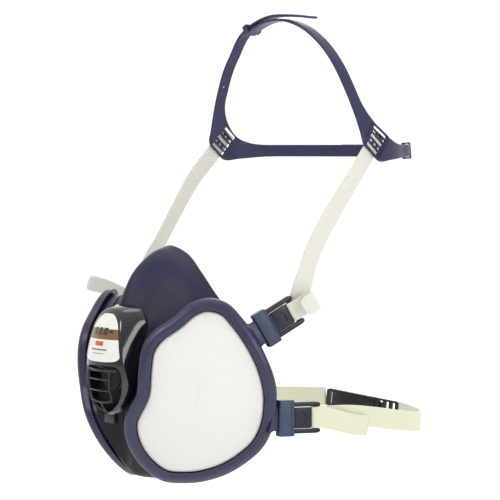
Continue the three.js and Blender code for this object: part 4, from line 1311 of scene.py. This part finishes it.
finish_piece(clasp_hook(), "clasp_hook", "neck_clasp_hook", BLACK, "neck_clasp_hook")
finish_piece(clasp_socket(), "clasp_socket", "neck_harness", BLACK, "neck_clasp_socket")


# ---------------------------------------------------------------- studio
FLOOR_Z = -0.135
FLOOR_SIZE = 6
CAMERA_AZIMUTH = 50
CAMERA_ELEVATION = 3
CAMERA_DISTANCE = 1.1
CAMERA_TARGET = (0, 0.035, 0.062)
SENSOR = 36
# Focal length as a share of the picture's width.
FOCAL = 3.96
# name, place, size, power
LIGHTS = (
    ("key", (0.2, -1.0, 0.9), 0.45, 5.5), ("side", (1.25, 0.12, 0.42), 0.7, 6),
    ("top", (-0.1, 0.1, 1.3), 0.7, 2.5), ("rear", (-0.8, 0.9, 0.6), 0.8, 3),
)


def studio_floor():
    """Pale floor, low enough for the neck loop to hang over it."""
    bm = bmesh.new()
    bmesh.ops.create_grid(bm, x_segments=1, y_segments=1, size=FLOOR_SIZE)
    bmesh.ops.translate(bm, vec=(0, 0, FLOOR_Z), verts=bm.verts)
    floor = from_bmesh("floor", bm)
    paint = Surface("floor", 0.9, Specular_IOR_Level=0.1)
    paint.colour(paint.ramp(paint.noise(3, 2), (0.3, srgb(252, 252, 252)), (0.7, srgb(254, 254, 254))))
    floor.data.materials.append(paint.made)


def aim(o, target):
    o.rotation_euler = (Vector(target) - o.location).to_track_quat("-Z", "Y").to_euler()


def area_light(name, at, size, power):
    data = bpy.data.lights.new(name, "AREA")
    data.shape = "DISK"
    data.size = size
    data.energy = power
    lamp = new_object(name, data)
    lamp.location = at
    aim(lamp, (0, 0.03, 0.05))


def studio_camera():
    azimuth, elevation = math.radians(CAMERA_AZIMUTH), math.radians(CAMERA_ELEVATION)
    data = bpy.data.cameras.new("camera")
    data.lens = SENSOR * FOCAL
    data.sensor_width = SENSOR
    data.clip_start = 0.05
    camera = new_object("camera", data)
    level = math.cos(elevation)
    back = Vector((math.sin(azimuth) * level, -math.cos(azimuth) * level, math.sin(elevation)))
    camera.location = Vector(CAMERA_TARGET) + back * CAMERA_DISTANCE
    aim(camera, CAMERA_TARGET)
    bpy.context.scene.camera = camera


def studio_world():
    """Soft surroundings, brightest behind, over the wearer's right. The camera itself sees plain white."""
    world = bpy.data.worlds.new("studio")
    world.use_nodes = True
    tree = world.node_tree
    heading = tree.nodes.new("ShaderNodeVectorMath")
    heading.operation = "DOT_PRODUCT"
    heading.inputs[1].default_value = (-0.5, 0.42, 0.76)
    tree.links.new(tree.nodes.new("ShaderNodeTexCoord").outputs["Generated"], heading.inputs[0])
    tone = tree.nodes.new("ShaderNodeMapRange")
    for name, value in (("From Min", -1), ("From Max", 1), ("To Min", 0.15), ("To Max", 1.3)):
        tone.inputs[name].default_value = value
    tree.links.new(heading.outputs["Value"], tone.inputs["Value"])
    plain = tree.nodes.new("ShaderNodeMath")
    plain.operation = "MAXIMUM"
    tree.links.new(tone.outputs["Result"], plain.inputs[0])
    tree.links.new(tree.nodes.new("ShaderNodeLightPath").outputs["Is Camera Ray"], plain.inputs[1])
    tree.links.new(plain.outputs[0], tree.nodes["Background"].inputs["Color"])
    bpy.context.scene.world = world
    bpy.context.scene.view_settings.view_transform = "Standard"


studio_floor()
studio_camera()
studio_world()
for light in LIGHTS:
    area_light(*light)
